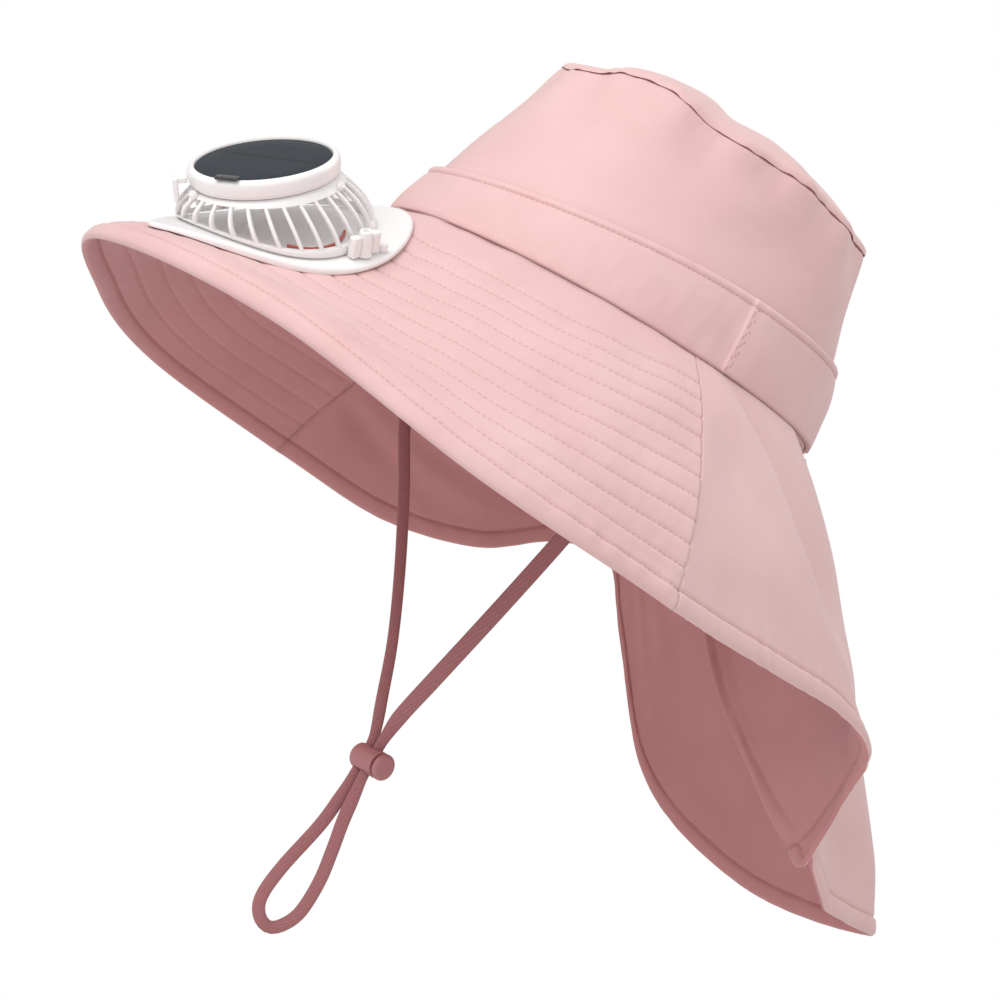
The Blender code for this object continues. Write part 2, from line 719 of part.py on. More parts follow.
def build_fan_base(finish):
    """The thin base that follows the brim under the cage."""
    shares = [0.0, 0.3, 0.5, 0.65, 0.8, 0.95, 1.0]
    outer = []
    inner = []
    for a, b in base_outline(FAN_SEGMENTS):
        outer.append([tuple(base_surface(a * s, b * s, BASE_TOP - (BASE_EDGE if s == 1.0 else 0.0)))
                      for s in shares])
        inner.append([tuple(base_surface(a * s, b * s, BASE_CLEARANCE)) for s in shares])
    return add_object("fan_base", wall_mesh(np.array(outer), np.array(inner), True), finish)


def cage_point(turn, share, inset):
    """The cage's skin, from its foot on the base to its ring under the housing."""
    foot_radius = CAGE_BOTTOM_RADIUS - inset
    ring_radius = CAGE_TOP_RADIUS - inset
    foot = base_surface(foot_radius * math.cos(turn), -foot_radius * math.sin(turn),
                        BASE_TOP + CAGE_SEAT)
    frame = fan_frame()
    ring = frame @ Vector((ring_radius * math.cos(turn), ring_radius * math.sin(turn),
                           -HOUSING_HEIGHT - CLEARANCE))
    side = frame.to_3x3() @ Vector((math.cos(turn), math.sin(turn), 0.0))
    return foot.lerp(ring, share) + side * CAGE_BULGE * 4 * share * (1 - share)


def cage_frame(turn, share):
    """A frame on the cage's skin, its Z pointing square out of it."""
    point = cage_point(turn, share, 0.0)
    up = (cage_point(turn, share + 0.01, 0.0) - point).normalized()
    across = (cage_point(turn + 0.01, share, 0.0) - point).normalized()
    out = across.cross(up).normalized()
    across = up.cross(out)
    return Matrix((
        (across.x, up.x, out.x, point.x),
        (across.y, up.y, out.y, point.y),
        (across.z, up.z, out.z, point.z),
        (0, 0, 0, 1)))


def build_fan_cage(finish):
    """The flared cage, with a gap cut through between each two ribs."""
    shares = [0.0, 0.15, 0.5, 0.87, 1.0]
    turns = []
    for k in range(CAGE_RIBS):
        turns += [2 * math.pi * k / CAGE_RIBS, 2 * math.pi * (k + RIB_SHARE) / CAGE_RIBS]
    bm = bmesh.new()
    skins = [[[bm.verts.new(cage_point(t, s, inset)) for s in shares] for t in turns]
             for inset in (0.0, CAGE_WALL)]
    rows = len(shares) - 1

    def is_solid(i, j):
        return 0 <= j < rows and (i % 2 == 0 or j == 0 or j == rows - 1)

    for i in range(len(turns)):
        k = (i + 1) % len(turns)
        for j in range(rows):
            if not is_solid(i, j):
                continue
            o, n = skins
            bm.faces.new((o[i][j], o[k][j], o[k][j + 1], o[i][j + 1]))
            bm.faces.new((n[i][j], n[i][j + 1], n[k][j + 1], n[k][j]))
            if not is_solid(i, j - 1):
                bm.faces.new((o[i][j], n[i][j], n[k][j], o[k][j]))
            if not is_solid(i, j + 1):
                bm.faces.new((o[i][j + 1], o[k][j + 1], n[k][j + 1], n[i][j + 1]))
            if not is_solid(i - 1, j):
                bm.faces.new((o[i][j], o[i][j + 1], n[i][j + 1], n[i][j]))
            if not is_solid(i + 1, j):
                bm.faces.new((o[k][j], n[k][j], n[k][j + 1], o[k][j + 1]))
    return add_object("fan_cage", bm, finish)


def build_housing(frame, finish):
    """The shallow round housing that holds the panel."""
    inner = PANEL_RADIUS + CLEARANCE
    seat = -PANEL_RECESS - PANEL_THICKNESS - CLEARANCE
    profile = [(0.0, seat), (inner, seat), (inner, -0.4), (inner + 0.6, RIM_RISE), (HOUSING_RADIUS - 1.2, 0.0),
               (HOUSING_RADIUS - 0.2, -1.2), (HOUSING_RADIUS, -4.0), (HOUSING_RADIUS - 1.0, -HOUSING_HEIGHT + 0.6),
               (HOUSING_RADIUS - 1.8, -HOUSING_HEIGHT), (inner - 2.0, -HOUSING_HEIGHT),
               (inner - 2.0, seat - HOUSING_FLOOR), (0.0, seat - HOUSING_FLOOR)]
    return turned("fan_housing", profile, FAN_SEGMENTS, frame, finish)


def build_panel(frame, finish):
    """The round solar panel in the housing."""
    top = -PANEL_RECESS
    low = top - PANEL_THICKNESS
    profile = [(0.0, low), (PANEL_RADIUS, low), (PANEL_RADIUS, top), (0.0, top)]
    return turned("solar_panel", profile, FAN_SEGMENTS, frame, finish)


def motor_top():
    """Height of the motor's top under the housing floor."""
    return -PANEL_RECESS - PANEL_THICKNESS - CLEARANCE - HOUSING_FLOOR - CLEARANCE


def build_motor(frame, finish):
    """The motor under the housing floor, and its shaft."""
    top = motor_top()
    foot = top - MOTOR_LENGTH
    shaft_end = foot - MOTOR_TO_HUB - HUB_THICKNESS - SHAFT_STICKS_OUT
    profile = [(0.0, shaft_end), (SHAFT_RADIUS, shaft_end), (SHAFT_RADIUS, foot), (MOTOR_RADIUS - EASED_EDGE, foot),
               (MOTOR_RADIUS, foot + EASED_EDGE), (MOTOR_RADIUS, top), (0.0, top)]
    return turned("fan_motor", profile, MOTOR_SEGMENTS, frame, finish)


def build_impeller(frame, finish):
    """The impeller: a hub plate on the shaft with swept blades."""
    foot = motor_top() - MOTOR_LENGTH - MOTOR_TO_HUB
    bore = SHAFT_RADIUS + CLEARANCE
    rim = HUB_RADIUS + HUB_RIM
    profile = [(bore, foot - HUB_THICKNESS), (rim, foot - HUB_THICKNESS), (rim, foot), (bore, foot)]
    hub = turned("impeller", profile, IMPELLER_SEGMENTS, frame, finish)
    for k in range(BLADE_COUNT):
        turn = Matrix.Rotation(2 * math.pi * k / BLADE_COUNT, 4, "Z")
        length = IMPELLER_RADIUS - HUB_RADIUS
        lean = Matrix.Rotation(math.radians(BLADE_SWEEP), 4, "Z")
        height = foot - EASED_EDGE + BLADE_HEIGHT / 2 - HUB_THICKNESS
        place = turn @ Matrix.Translation((HUB_RADIUS + BLADE_INSET, 0.0, height)) \
            @ lean @ Matrix.Translation((length / 2, 0.0, 0.0))
        blade = block(f"blade_{k + 1}", (length, BLADE_THICKNESS, BLADE_HEIGHT), frame @ place, finish, 0.2)
        boolean(hub, blade, "UNION")
    return hub


def polar(frame, radius, degrees, height):
    """A frame out from the fan's axis, its X pointing outwards."""
    a = math.radians(degrees)
    place = Matrix.Translation((radius * math.cos(a), radius * math.sin(a), height))
    return frame @ place @ Matrix.Rotation(a, 4, "Z")


def build_housing_fittings(frame, plastic, dark):
    """The latch tab, the hooked bracket and the bosses round the housing."""
    side = HOUSING_RADIUS + CLEARANCE
    tab_radius = (PANEL_RADIUS + CLEARANCE + HOUSING_RADIUS) / 2
    tab_height = RIM_RISE + CLEARANCE + LATCH_SIZE[2] / 2
    block("latch_tab", LATCH_SIZE, polar(frame, tab_radius, LATCH_ANGLE, tab_height), dark, EASED_EDGE)
    plate_radius = HOUSING_RADIUS + BRACKET_OFFSET
    bracket = block("cage_bracket", BRACKET_SIZE, polar(frame, plate_radius, BRACKET_ANGLE, -BRACKET_DEPTH),
                    plastic, EASED_EDGE)
    hook_height = -BRACKET_DEPTH + BRACKET_SIZE[2] / 2 - BRACKET_HOOK[1] / 2
    hook_reach = side + (BRACKET_OFFSET - CLEARANCE) / 2
    hook = block("bracket_hook", (BRACKET_OFFSET - CLEARANCE, *BRACKET_HOOK),
                 polar(frame, hook_reach, BRACKET_ANGLE, hook_height), plastic, 0.3)
    boolean(bracket, hook, "UNION")
    for name, degrees in BOSS_ANGLES.items():
        turned(name, cylinder_profile(BOSS_RADIUS, CLEARANCE, CLEARANCE + BOSS_LENGTH, EASED_EDGE), SMALL_SEGMENTS,
               cage_frame(math.radians(degrees), BOSS_SHARE), plastic)


def build_base_fittings(plastic):
    """The screw post, its two blocks and the peg that stand on the base."""
    stand = BASE_TOP + CLEARANCE
    side = CAGE_BOTTOM_RADIUS + POST_SIDE
    post = [(POST_BORE, 0.0), (POST_RADIUS, 0.0), (POST_TOP_RADIUS, POST_HEIGHT), (POST_BORE, POST_HEIGHT)]
    turned("screw_post", post, SMALL_SEGMENTS, seat_frame(side, POST_ALONG, stand), plastic)
    step = POST_RADIUS + CLEARANCE + POST_BLOCK[1] / 2
    for name, b in (("post_block_front", POST_ALONG + step), ("post_block_rear", POST_ALONG - step)):
        block(name, POST_BLOCK, seat_frame(side, b, stand + POST_BLOCK[2] / 2), plastic, EASED_EDGE)
    turned("base_peg", cylinder_profile(PEG_RADIUS, 0.0, PEG_HEIGHT, EASED_EDGE), SMALL_SEGMENTS,
           seat_frame(CAGE_BOTTOM_RADIUS + PEG_SIDE, PEG_ALONG, stand), plastic)


def build_lead(red):
    """The motor's lead, lying on the base inside the cage."""
    lift = BASE_TOP + CLEARANCE + LEAD_DIAMETER / 2
    lead = [tuple(base_surface(a, b, lift)) for a, b in LEAD_ROUTE]
    cords_curve("motor_lead", lead, LEAD_DIAMETER, LEAD_SPACING, red)


def slider_frame():
    """Frame of the cord lock: origin between the strands, Z towards the button."""
    turn = Matrix.Rotation(math.radians(SLIDER_TURN), 4, "Z")
    return Matrix.Translation(SLIDER_CENTRE) @ turn @ Matrix.Rotation(math.pi / 2, 4, "Y")


def build_slider(plastic):
    """The cord lock on the chin strap, slotted for both strands, and its button."""
    frame = slider_frame()
    radius = SLIDER_DIAMETER / 2
    room = STRAP_DIAMETER + 2 * SLOT_CLEARANCE
    slot_length = room + STRAP_DIAMETER + STRAND_GAP
    foot = -slot_length / 2 - SLIDER_WALL
    mouth = slot_length / 2 + SLIDER_WALL + BUTTON_RECESS
    barrel = [(0.0, foot), (radius - SLIDER_EDGE, foot), (radius, foot + SLIDER_EDGE),
              (radius, mouth - SLIDER_MOUTH_EDGE), (radius - SLIDER_MOUTH_EDGE, mouth), (0.0, mouth)]
    body = turned("strap_slider", barrel, SLIDER_SEGMENTS, frame, plastic)
    boolean(body, block("slider_slot", (2 * SLIDER_DIAMETER, room, slot_length), frame, plastic, SLIDER_MOUTH_EDGE),
            "DIFFERENCE")
    neck = BUTTON_NECK / 2
    bore = cylinder_profile(neck + CLEARANCE, mouth - BUTTON_RECESS, mouth + BUTTON_RECESS, EASED_EDGE)
    boolean(body, turned("button_recess", bore, SLIDER_SEGMENTS, frame, plastic), "DIFFERENCE")
    shoulder = mouth + CLEARANCE + BUTTON_TRAVEL
    cap = shoulder + BUTTON_HEAD
    head = BUTTON_DIAMETER / 2
    button = [(0.0, shoulder - BUTTON_RECESS), (neck, shoulder - BUTTON_RECESS), (neck, shoulder),
              (head - EASED_EDGE, shoulder), (head, shoulder + EASED_EDGE), (head, cap - BUTTON_EDGE),
              (head - BUTTON_EDGE, cap), (0.0, cap)]
    turned("slider_button", button, SLIDER_SEGMENTS, frame, plastic)


def main():
    """Builds every piece of the hat."""
    for old in list(bpy.data.objects):
        bpy.data.objects.remove(old, do_unlink=True)
    pink = material("pink cloth", (0.80, 0.60, 0.58), 0.85)
    quilted = material("quilted cloth", (0.78, 0.58, 0.56), 0.85)
    rose = material("rose strap", (0.42, 0.17, 0.18), 0.7)
    white = material("white plastic", (0.88, 0.86, 0.86), 0.35)
    grey = material("grey plastic", (0.55, 0.50, 0.50), 0.4)
    black = material("solar black", (0.03, 0.035, 0.045), 0.2)
    red = material("red lead", (0.5, 0.08, 0.06), 0.5)

    build_crown_side(pink)
    build_crown_tip(pink)
    build_band(pink)
    build_front_brim(quilted)
    build_flap("left_flap", LEFT_FLAP_ROWS, 0.0, pink, 3)
    build_flap("right_flap", RIGHT_FLAP_ROWS, FLAP_LAP_LIFT, pink, 2)
    cords_curve("chin_strap", STRAP_ROUTE, STRAP_DIAMETER, STRAP_POINT_SPACING, rose)
    build_slider(rose)

    frame = fan_frame()
    build_fan_base(white)
    build_fan_cage(white)
    build_housing(frame, white)
    build_panel(frame, black)
    build_motor(frame, grey)
    build_impeller(frame, grey)
    build_housing_fittings(frame, white, black)
    build_base_fittings(white)
    build_lead(red)


main()
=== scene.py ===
"""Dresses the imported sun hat: sewn cloth, stitching, chin strap and solar fan.

Sizes are in millimetres and meshes are made in metres, in the frame of the
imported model: +Z up the crown, -Y to the front, +X to the wearer's left.
"""
from __future__ import annotations

import json
import logging
import math
from dataclasses import dataclass, field
from enum import Enum
from typing import Iterable, NamedTuple, Sequence

import bmesh
import bpy
import numpy as np
from bpy.types import ID, Material, Mesh, Node, NodeSocket, NodeTree, Object
from mathutils import Matrix, Vector

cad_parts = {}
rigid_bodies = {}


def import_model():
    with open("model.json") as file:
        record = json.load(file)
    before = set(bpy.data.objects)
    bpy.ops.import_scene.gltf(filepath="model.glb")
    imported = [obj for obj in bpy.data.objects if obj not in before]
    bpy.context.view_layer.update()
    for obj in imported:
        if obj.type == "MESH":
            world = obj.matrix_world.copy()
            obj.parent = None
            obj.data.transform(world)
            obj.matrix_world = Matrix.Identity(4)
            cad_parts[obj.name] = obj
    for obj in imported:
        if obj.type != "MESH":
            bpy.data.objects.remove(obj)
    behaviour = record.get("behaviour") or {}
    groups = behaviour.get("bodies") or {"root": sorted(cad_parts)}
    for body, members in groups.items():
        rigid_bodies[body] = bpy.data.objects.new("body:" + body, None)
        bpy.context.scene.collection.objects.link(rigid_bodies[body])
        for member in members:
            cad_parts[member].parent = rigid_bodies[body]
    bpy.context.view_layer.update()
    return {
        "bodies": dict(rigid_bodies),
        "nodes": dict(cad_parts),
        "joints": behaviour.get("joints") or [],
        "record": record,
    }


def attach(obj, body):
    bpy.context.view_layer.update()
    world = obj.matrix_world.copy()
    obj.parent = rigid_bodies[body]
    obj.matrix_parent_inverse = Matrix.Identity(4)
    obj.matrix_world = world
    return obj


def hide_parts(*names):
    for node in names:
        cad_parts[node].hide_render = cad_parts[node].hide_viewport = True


MM = 0.001
SHARP_ANGLE = 40.0
LOG = logging.getLogger("sun_hat")


class Body(Enum):
    """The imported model's bodies that the new pieces ride on."""

    HAT = "hat"
    LOCK_BUTTON = "lock_button"


class Slot(Enum):
    """The record's material slots that the new pieces use."""

    CLOTH = "pink_cloth"
    QUILTED = "quilted_cloth"
    STRAP = "rose_strap"
    STRAP_PLASTIC = "rose_plastic"
    WHITE = "white_plastic"
    DARK = "dark_plastic"
    CELL = "solar_cell"


class HeightRow(NamedTuple):
    """Height of the tip seam or the band at an angle, a share of its size."""

    angle: float
    height: float


class DentRow(NamedTuple):
    """A soft dent of the crown side: where, how wide and how deep."""

    angle: float
    up: float
    spread: float
    rise: float
    depth: float


class BrimRow(NamedTuple):
    """Reach, drop, bow and lip of the brim at an angle, shares of its sizes."""

    angle: float
    reach: float
    drop: float
    bow: float
    lip: float


class FlapRow(NamedTuple):
    """A rib of the neck flap: its start angle, its end and how it bends."""

    station: float
    angle: float
    x: float
    y: float
    z: float
    bend_x: float
    bend_y: float
    bend_z: float


CROWN_ROWS = [
    HeightRow(-180, 0.93), HeightRow(-120, 0.95), HeightRow(-60, 1.00), HeightRow(-30, 1.03),
    HeightRow(0, 0.99), HeightRow(38, 1.06), HeightRow(62, 0.99), HeightRow(95, 0.99), HeightRow(125, 0.95),
    HeightRow(180, 0.93),
]
BAND_ROWS = [
    HeightRow(-180, 1.00), HeightRow(-90, 0.95), HeightRow(0, 0.66), HeightRow(90, 0.95),
    HeightRow(180, 1.00),
]
CROWN_DENTS = [
    DentRow(22, 0.72, 16, 0.22, 0.030),
    DentRow(48, 0.55, 20, 0.25, -0.018),
    DentRow(66, 0.85, 12, 0.14, 0.030),
    DentRow(95, 0.62, 16, 0.20, 0.022),
    DentRow(128, 0.70, 18, 0.24, -0.016),
    DentRow(165, 0.60, 20, 0.25, 0.024),
    DentRow(-40, 0.65, 20, 0.24, 0.024),
    DentRow(-95, 0.55, 22, 0.26, -0.020),
    DentRow(-140, 0.70, 18, 0.22, 0.026),
]
BRIM_ROWS = [
    BrimRow(-82, 0.80, 1.03, 0.06, 0.000),
    BrimRow(-60, 0.98, 0.97, 0.05, 0.000),
    BrimRow(-30, 0.90, 0.86, 0.06, 0.000),
    BrimRow(0, 1.00, 0.80, 0.00, 0.050),
    BrimRow(30, 0.95, 0.83, -0.05, 0.075),
    BrimRow(60, 0.96, 1.00, 0.05, 0.035),
    BrimRow(88, 0.81, 1.04, 0.09, 0.000),
]
LEFT_FLAP_ROWS = [
    FlapRow(0, 88, 1.010, 0.00, 0.630, 0.03, 0.00, 0.055),
    FlapRow(1, 91, 0.930, 0.12, 0.620, 0.03, 0.00, 0.055),
    FlapRow(2, 94, 0.850, 0.27, 0.610, 0.03, 0.00, 0.050),
    FlapRow(3, 97, 0.745, 0.43, 0.600, 0.03, 0.00, 0.040),
    FlapRow(4, 101, 0.665, 0.54, 0.640, 0.04, 0.00, 0.000),
    FlapRow(5, 128, 0.530, 0.60, 0.760, 0.03, 0.02, 0.030),
    FlapRow(6, 156, 0.420, 0.64, 0.930, -0.05, -0.02, 0.000),
    FlapRow(7, 180, 0.370, 0.65, 0.955, -0.16, -0.12, 0.000),
]
RIGHT_FLAP_ROWS = [
    FlapRow(0, -82, -1.010, -0.075, 0.630, -0.03, 0.00, 0.055),
    FlapRow(1, -92, -0.940, 0.115, 0.640, -0.03, 0.00, 0.055),
    FlapRow(2, -102, -0.830, 0.265, 0.580, -0.03, 0.00, 0.050),
    FlapRow(3, -112, -0.745, 0.370, 0.455, -0.03, 0.01, 0.040),
    FlapRow(4, -122, -0.720, 0.470, 0.430, -0.03, 0.02, 0.040),
    FlapRow(5, -132, -0.710, 0.570, 0.620, -0.04, 0.02, 0.050),
    FlapRow(6, -142, -0.690, 0.700, 0.870, -0.05, 0.02, 0.070),
    FlapRow(7, -152, -0.620, 0.800, 0.980, -0.05, 0.03, 0.070),
    FlapRow(8, -163, -0.380, 0.885, 1.045, -0.02, 0.045, 0.060),
    FlapRow(9, -172, -0.170, 0.945, 1.040, 0.00, 0.045, 0.040),
    FlapRow(10, -180, 0.000, 1.000, 1.000, 0.00, 0.045, 0.020),
    FlapRow(11, -185, 0.125, 0.890, 1.010, 0.00, 0.030, 0.010),
    FlapRow(12, -189, 0.240, 0.765, 1.000, 0.00, 0.030, 0.000),
    FlapRow(13, -193, 0.310, 0.680, 0.880, 0.00, 0.020, 0.000),
]

# Turned profiles of the fan's small fittings: radius and height in millimetres
BOSS_PROFILE = [(0.0, 0.3), (1.5, 0.3), (1.5, 1.9), (1.4, 2.15), (1.15, 2.3), (0.75, 2.2), (0.65, 1.7),
                (0.0, 1.7)]
POST_PROFILE = [(1.2, 0.0), (3.3, 0.0), (3.05, 0.8), (2.85, 5.0), (2.6, 9.4), (2.4, 9.85), (2.1, 10.0),
                (1.5, 10.0), (1.2, 9.6)]
PEG_PROFILE = [(0.0, 0.0), (2.0, 0.0), (2.0, 2.0), (1.8, 2.45), (1.45, 2.6), (0.7, 2.55), (0.55, 2.2),
               (0.0, 2.1)]

# The chin strap's route, from the left ear to the right ear
STRAP_ROUTE = [
    (77.6, 3.0, 8.0), (78.6, 3.0, -4.0), (76.0, 3.5, -20.0), (66.0, 4.5, -45.0),
    (50.0, 4.7, -82.8), (34.0, 3.7, -118.9), (18.0, 2.6, -153.0), (8.0, 2.0, -173.8),
    (3.8, 2.6, -183.6), (2.33, 2.97, -189.5), (2.33, 2.97, -196.3), (2.33, 2.97, -203.1),
    (2.5, 3.5, -209.7), (3.0, 4.4, -221.4), (3.5, 6.5, -234.9), (3.3, 8.3, -247.7),
    (2.0, 8.3, -261.4), (1.0, 5.2, -269.1), (-0.5, 0.5, -273.2), (-1.5, -5.3, -270.9),
    (-2.2, -8.2, -263.9), (-2.8, -6.3, -250.3), (-3.1, -0.4, -228.1), (-2.6, 1.2, -213.5),
    (-2.33, 1.45, -203.1), (-2.33, 1.45, -196.3), (-2.33, 1.45, -189.5), (-3.4, 0.7, -184.0),
    (-7.0, -1.8, -172.4), (-16.0, -6.0, -149.3), (-28.0, -13.4, -121.5), (-39.5, -23.0, -93.5),
    (-52.5, -33.3, -64.6), (-65.0, -34.5, -36.0), (-72.5, -31.5, -16.0), (-73.8, -30.2, -4.0),
    (-73.0, -30.0, 8.0),
]


def read_rows(rows: Sequence[NamedTuple], column: str, keys: np.ndarray) -> np.ndarray:
    """Reads a column smoothly between the rows of a table, by its first column.

    Args:
        rows: The table, in the order of its first column.
        column: The name of the column to read.
        keys: Where to read it.

    Returns:
        The column's value at each key.
    """
    knots = np.array([row[0] for row in rows], float)
    values = np.array([getattr(row, column) for row in rows], float)
    slopes = np.gradient(values, knots)
    slopes[1:-1] = (values[2:] - values[:-2]) / (knots[2:] - knots[:-2])
    keys = np.clip(np.asarray(keys, float), knots[0], knots[-1])
    i = np.clip(np.searchsorted(knots, keys) - 1, 0, len(knots) - 2)
    span = knots[i + 1] - knots[i]
    t = (keys - knots[i]) / span
    return ((2 * t ** 3 - 3 * t ** 2 + 1) * values[i] + (t ** 3 - 2 * t ** 2 + t) * span * slopes[i]
            + (3 * t ** 2 - 2 * t ** 3) * values[i + 1] + (t ** 3 - t ** 2) * span * slopes[i + 1])


def smooth_step(value: np.ndarray) -> np.ndarray:
    """Gives 0 below 0, 1 above 1, and smooth between."""
    value = np.clip(value, 0.0, 1.0)
    return value * value * (3 - 2 * value)


def unit(vectors: np.ndarray) -> np.ndarray:
    """Scales vectors to length 1."""
    return vectors / np.maximum(np.linalg.norm(vectors, axis=-1, keepdims=True), 1e-12)


def grid_normals(points: np.ndarray) -> np.ndarray:
    """Unit normals of an open grid of points."""
    return unit(np.cross(np.gradient(points, axis=0), np.gradient(points, axis=1)))


def round_over(distance: np.ndarray, radius: float) -> np.ndarray:
    """How far a rounded edge has fallen, as a share of its radius, at distances from it."""
    share = np.clip(distance / radius, 0.0, 1.0)
    return 1 - np.sqrt(np.maximum(1 - (1 - share) ** 2, 0.0))


def arc_lengths(points: np.ndarray, axis: int) -> np.ndarray:
    """Length along an axis of a grid of points, from its start."""
    steps = np.linalg.norm(np.diff(points, axis=axis), axis=-1)
    pad = [(0, 0)] * steps.ndim
    pad[axis] = (1, 0)
    return np.pad(np.cumsum(steps, axis=axis), pad)


def smooth_route(route: Sequence[Sequence[float]], spacing: float) -> np.ndarray:
    """Points at even steps of a smooth curve through a route's points.

    Args:
        route: The points to pass through.
        spacing: The step between the points that come back.

    Returns:
        The points, N by 3.
    """
    points = np.array(route, float)
    dense = []
    for i in range(len(points) - 1):
        before, after = points[max(i - 1, 0)], points[min(i + 2, len(points) - 1)]
        a, b = points[i], points[i + 1]
        for t in np.arange(0.0, 1.0, 1 / 16):
            dense.append(0.5 * (2 * a + (b - before) * t + (2 * before - 5 * a + 4 * b - after) * t * t
                                + (3 * a - before - 3 * b + after) * t ** 3))
    dense.append(points[-1])
    line = np.array(dense)
    lengths = arc_lengths(line[:, None, :], 0)[:, 0]
    wanted = np.linspace(0.0, lengths[-1], max(4, round(lengths[-1] / spacing)) + 1)
    return np.stack([np.interp(wanted, lengths, line[:, k]) for k in range(3)], axis=1)


class Ripples:
    """Smooth seeded unevenness over a surface, made of a few sines."""

    def __init__(self, seed: int, shortest: float, longest: float, count: int = 14) -> None:
        """Draws the sines.

        Args:
            seed: Fixes the draw.
            shortest: The shortest wave, in millimetres.
            longest: The longest wave, in millimetres.
            count: How many sines.
        """
        draw = np.random.default_rng(seed)
        turns = draw.uniform(0, 2 * np.pi, count)
        waves = 2 * np.pi / draw.uniform(shortest, longest, count)
        self.across = np.cos(turns) * waves
        self.along = np.sin(turns) * waves
        self.phases = draw.uniform(0, 2 * np.pi, count)

    def at(self, x: np.ndarray, y: np.ndarray) -> np.ndarray:
        """Height of the ripples at places of the surface, mostly from -1 to 1.

        Args:
            x: Distance across, in millimetres.
            y: Distance along, in millimetres.

        Returns:
            The height at each place.
        """
        waves = np.sin(x[..., None] * self.across + y[..., None] * self.along + self.phases)
        return waves.sum(axis=-1) / math.sqrt(len(self.phases) * 2)


@dataclass
class HatShape:
    """The hat's driving sizes, and the surfaces that follow from them."""

    head_length: float = 190.0
    head_width: float = 166.0
    cloth: float = 2.0
    clearance: float = 0.3
    crown_height: float = 82.0
    crown_lower_edge: float = -3.5
    tip_length: float = 146.0
    tip_width: float = 128.0
    tip_shift: float = 8.0
    tip_rise: float = 16.0
    crown_swell: float = 1.2
    gather_depth: float = 1.3
    gather_count: int = 15
    band_height: float = 32.0
    brim_reach: float = 104.0
    brim_drop: float = 94.0
    brim_top: float = -2.6
    lip_steepness: float = 9.0
    half_width: float = 166.0
    flap_back: float = 255.0
    flap_drop: float = 156.0

    @property
    def brim_seat(self) -> float:
        """How far outside the head opening the brim starts."""
        return 2 * self.cloth + 2 * self.clearance

    def outward(self, angle: np.ndarray) -> np.ndarray:
        """Horizontal unit vectors out of the head opening, angle 0 at the front."""
        a = np.radians(angle)
        return unit(np.stack([np.sin(a) / self.head_width, -np.cos(a) / self.head_length, 0 * a], axis=-1))

    def ring_point(self, angle: np.ndarray, offset: np.ndarray) -> np.ndarray:
        """Points round the head opening, offset outwards."""
        a = np.radians(angle)
        base = np.stack([self.head_width / 2 * np.sin(a), -self.head_length / 2 * np.cos(a), 0 * a], axis=-1)
        return base + self.outward(angle) * np.asarray(offset)[..., None]

    def tip_height(self, angle: np.ndarray) -> np.ndarray:
        """Height of the tip seam."""
        return self.crown_height * read_rows(CROWN_ROWS, "height", (np.asarray(angle) + 180) % 360 - 180)

    def band_top(self, angle: np.ndarray) -> np.ndarray:
        """Height of the band's upper edge."""
        return self.band_height * read_rows(BAND_ROWS, "height", (np.asarray(angle) + 180) % 360 - 180)

    def crown_point(self, angle: np.ndarray, height: np.ndarray, offset: np.ndarray) -> np.ndarray:
        """Points of the crown side's outer face.

        Args:
            angle: Angles round the crown, in degrees.
            height: Heights, in millimetres.
            offset: Distances outwards from the face.

        Returns:
            The points.
        """
        angle, height, offset = np.broadcast_arrays(angle, height, offset)
        share = np.clip(height / self.tip_height(angle), 0.0, 1.0)
        a = np.radians(angle)
        half_width = self.head_width / 2 + self.cloth
        half_length = self.head_length / 2 + self.cloth
        rx = half_width + (self.tip_width / 2 - half_width) * share
        ry = half_length + (self.tip_length / 2 - half_length) * share
        dent = np.zeros_like(share)
        for row in CROWN_DENTS:
            turn = (angle - row.angle + 180) % 360 - 180
            away = (turn / row.spread) ** 2 + ((share - row.up) / row.rise) ** 2
            dent = dent + row.depth * self.crown_height * np.exp(-away)
        dent = dent * smooth_step((height - self.band_height) / (0.3 * self.crown_height))
        gather = self.gather_depth * smooth_step((share - 0.72) / 0.28) * np.cos(self.gather_count * a)
        swell = self.crown_swell * np.sin(np.pi * share)
        centre = np.stack([rx * np.sin(a), -ry * np.cos(a) + self.tip_shift * share, height], axis=-1)
        return centre + self.outward(angle) * (offset + swell + gather - dent)[..., None]

    def brim_point(self, angle: np.ndarray, share: np.ndarray) -> np.ndarray:
        """Points of the front brim's upper face; share runs from head to hem."""
        angle, share = np.broadcast_arrays(np.asarray(angle, float), np.asarray(share, float))
        reach = self.brim_reach * read_rows(BRIM_ROWS, "reach", angle)
        drop = self.brim_drop * read_rows(BRIM_ROWS, "drop", angle)
        bow = self.brim_reach * read_rows(BRIM_ROWS, "bow", angle) * 4 * share * (1 - share)
        near_hem = np.maximum(share, 0.0) ** self.lip_steepness
        bow = bow + self.brim_reach * read_rows(BRIM_ROWS, "lip", angle) * 4 * near_hem * (1 - near_hem)
        length = np.hypot(reach, drop)
        out = reach * share + bow * drop / length
        down = self.brim_top - (drop + self.brim_top) * share + bow * reach / length
        points = self.ring_point(angle, self.brim_seat + out)
        points[..., 2] += down
        return points

    def rib_point(self, row: FlapRow, share: np.ndarray, lift: np.ndarray) -> np.ndarray:
        """Points down a flap's rib, its top lifted off the head opening."""
        top = self.ring_point(row.angle, self.brim_seat + lift)
        top[..., 2] += self.brim_top
        size = np.array([self.half_width, self.flap_back, self.flap_drop])
        end = np.stack([row.x, row.y, -row.z], axis=-1) * size
        bend = np.stack([row.bend_x, row.bend_y, row.bend_z], axis=-1) * size
        share = share[..., None]
        return top * (1 - share) + end * share + bend * 4 * share * (1 - share)

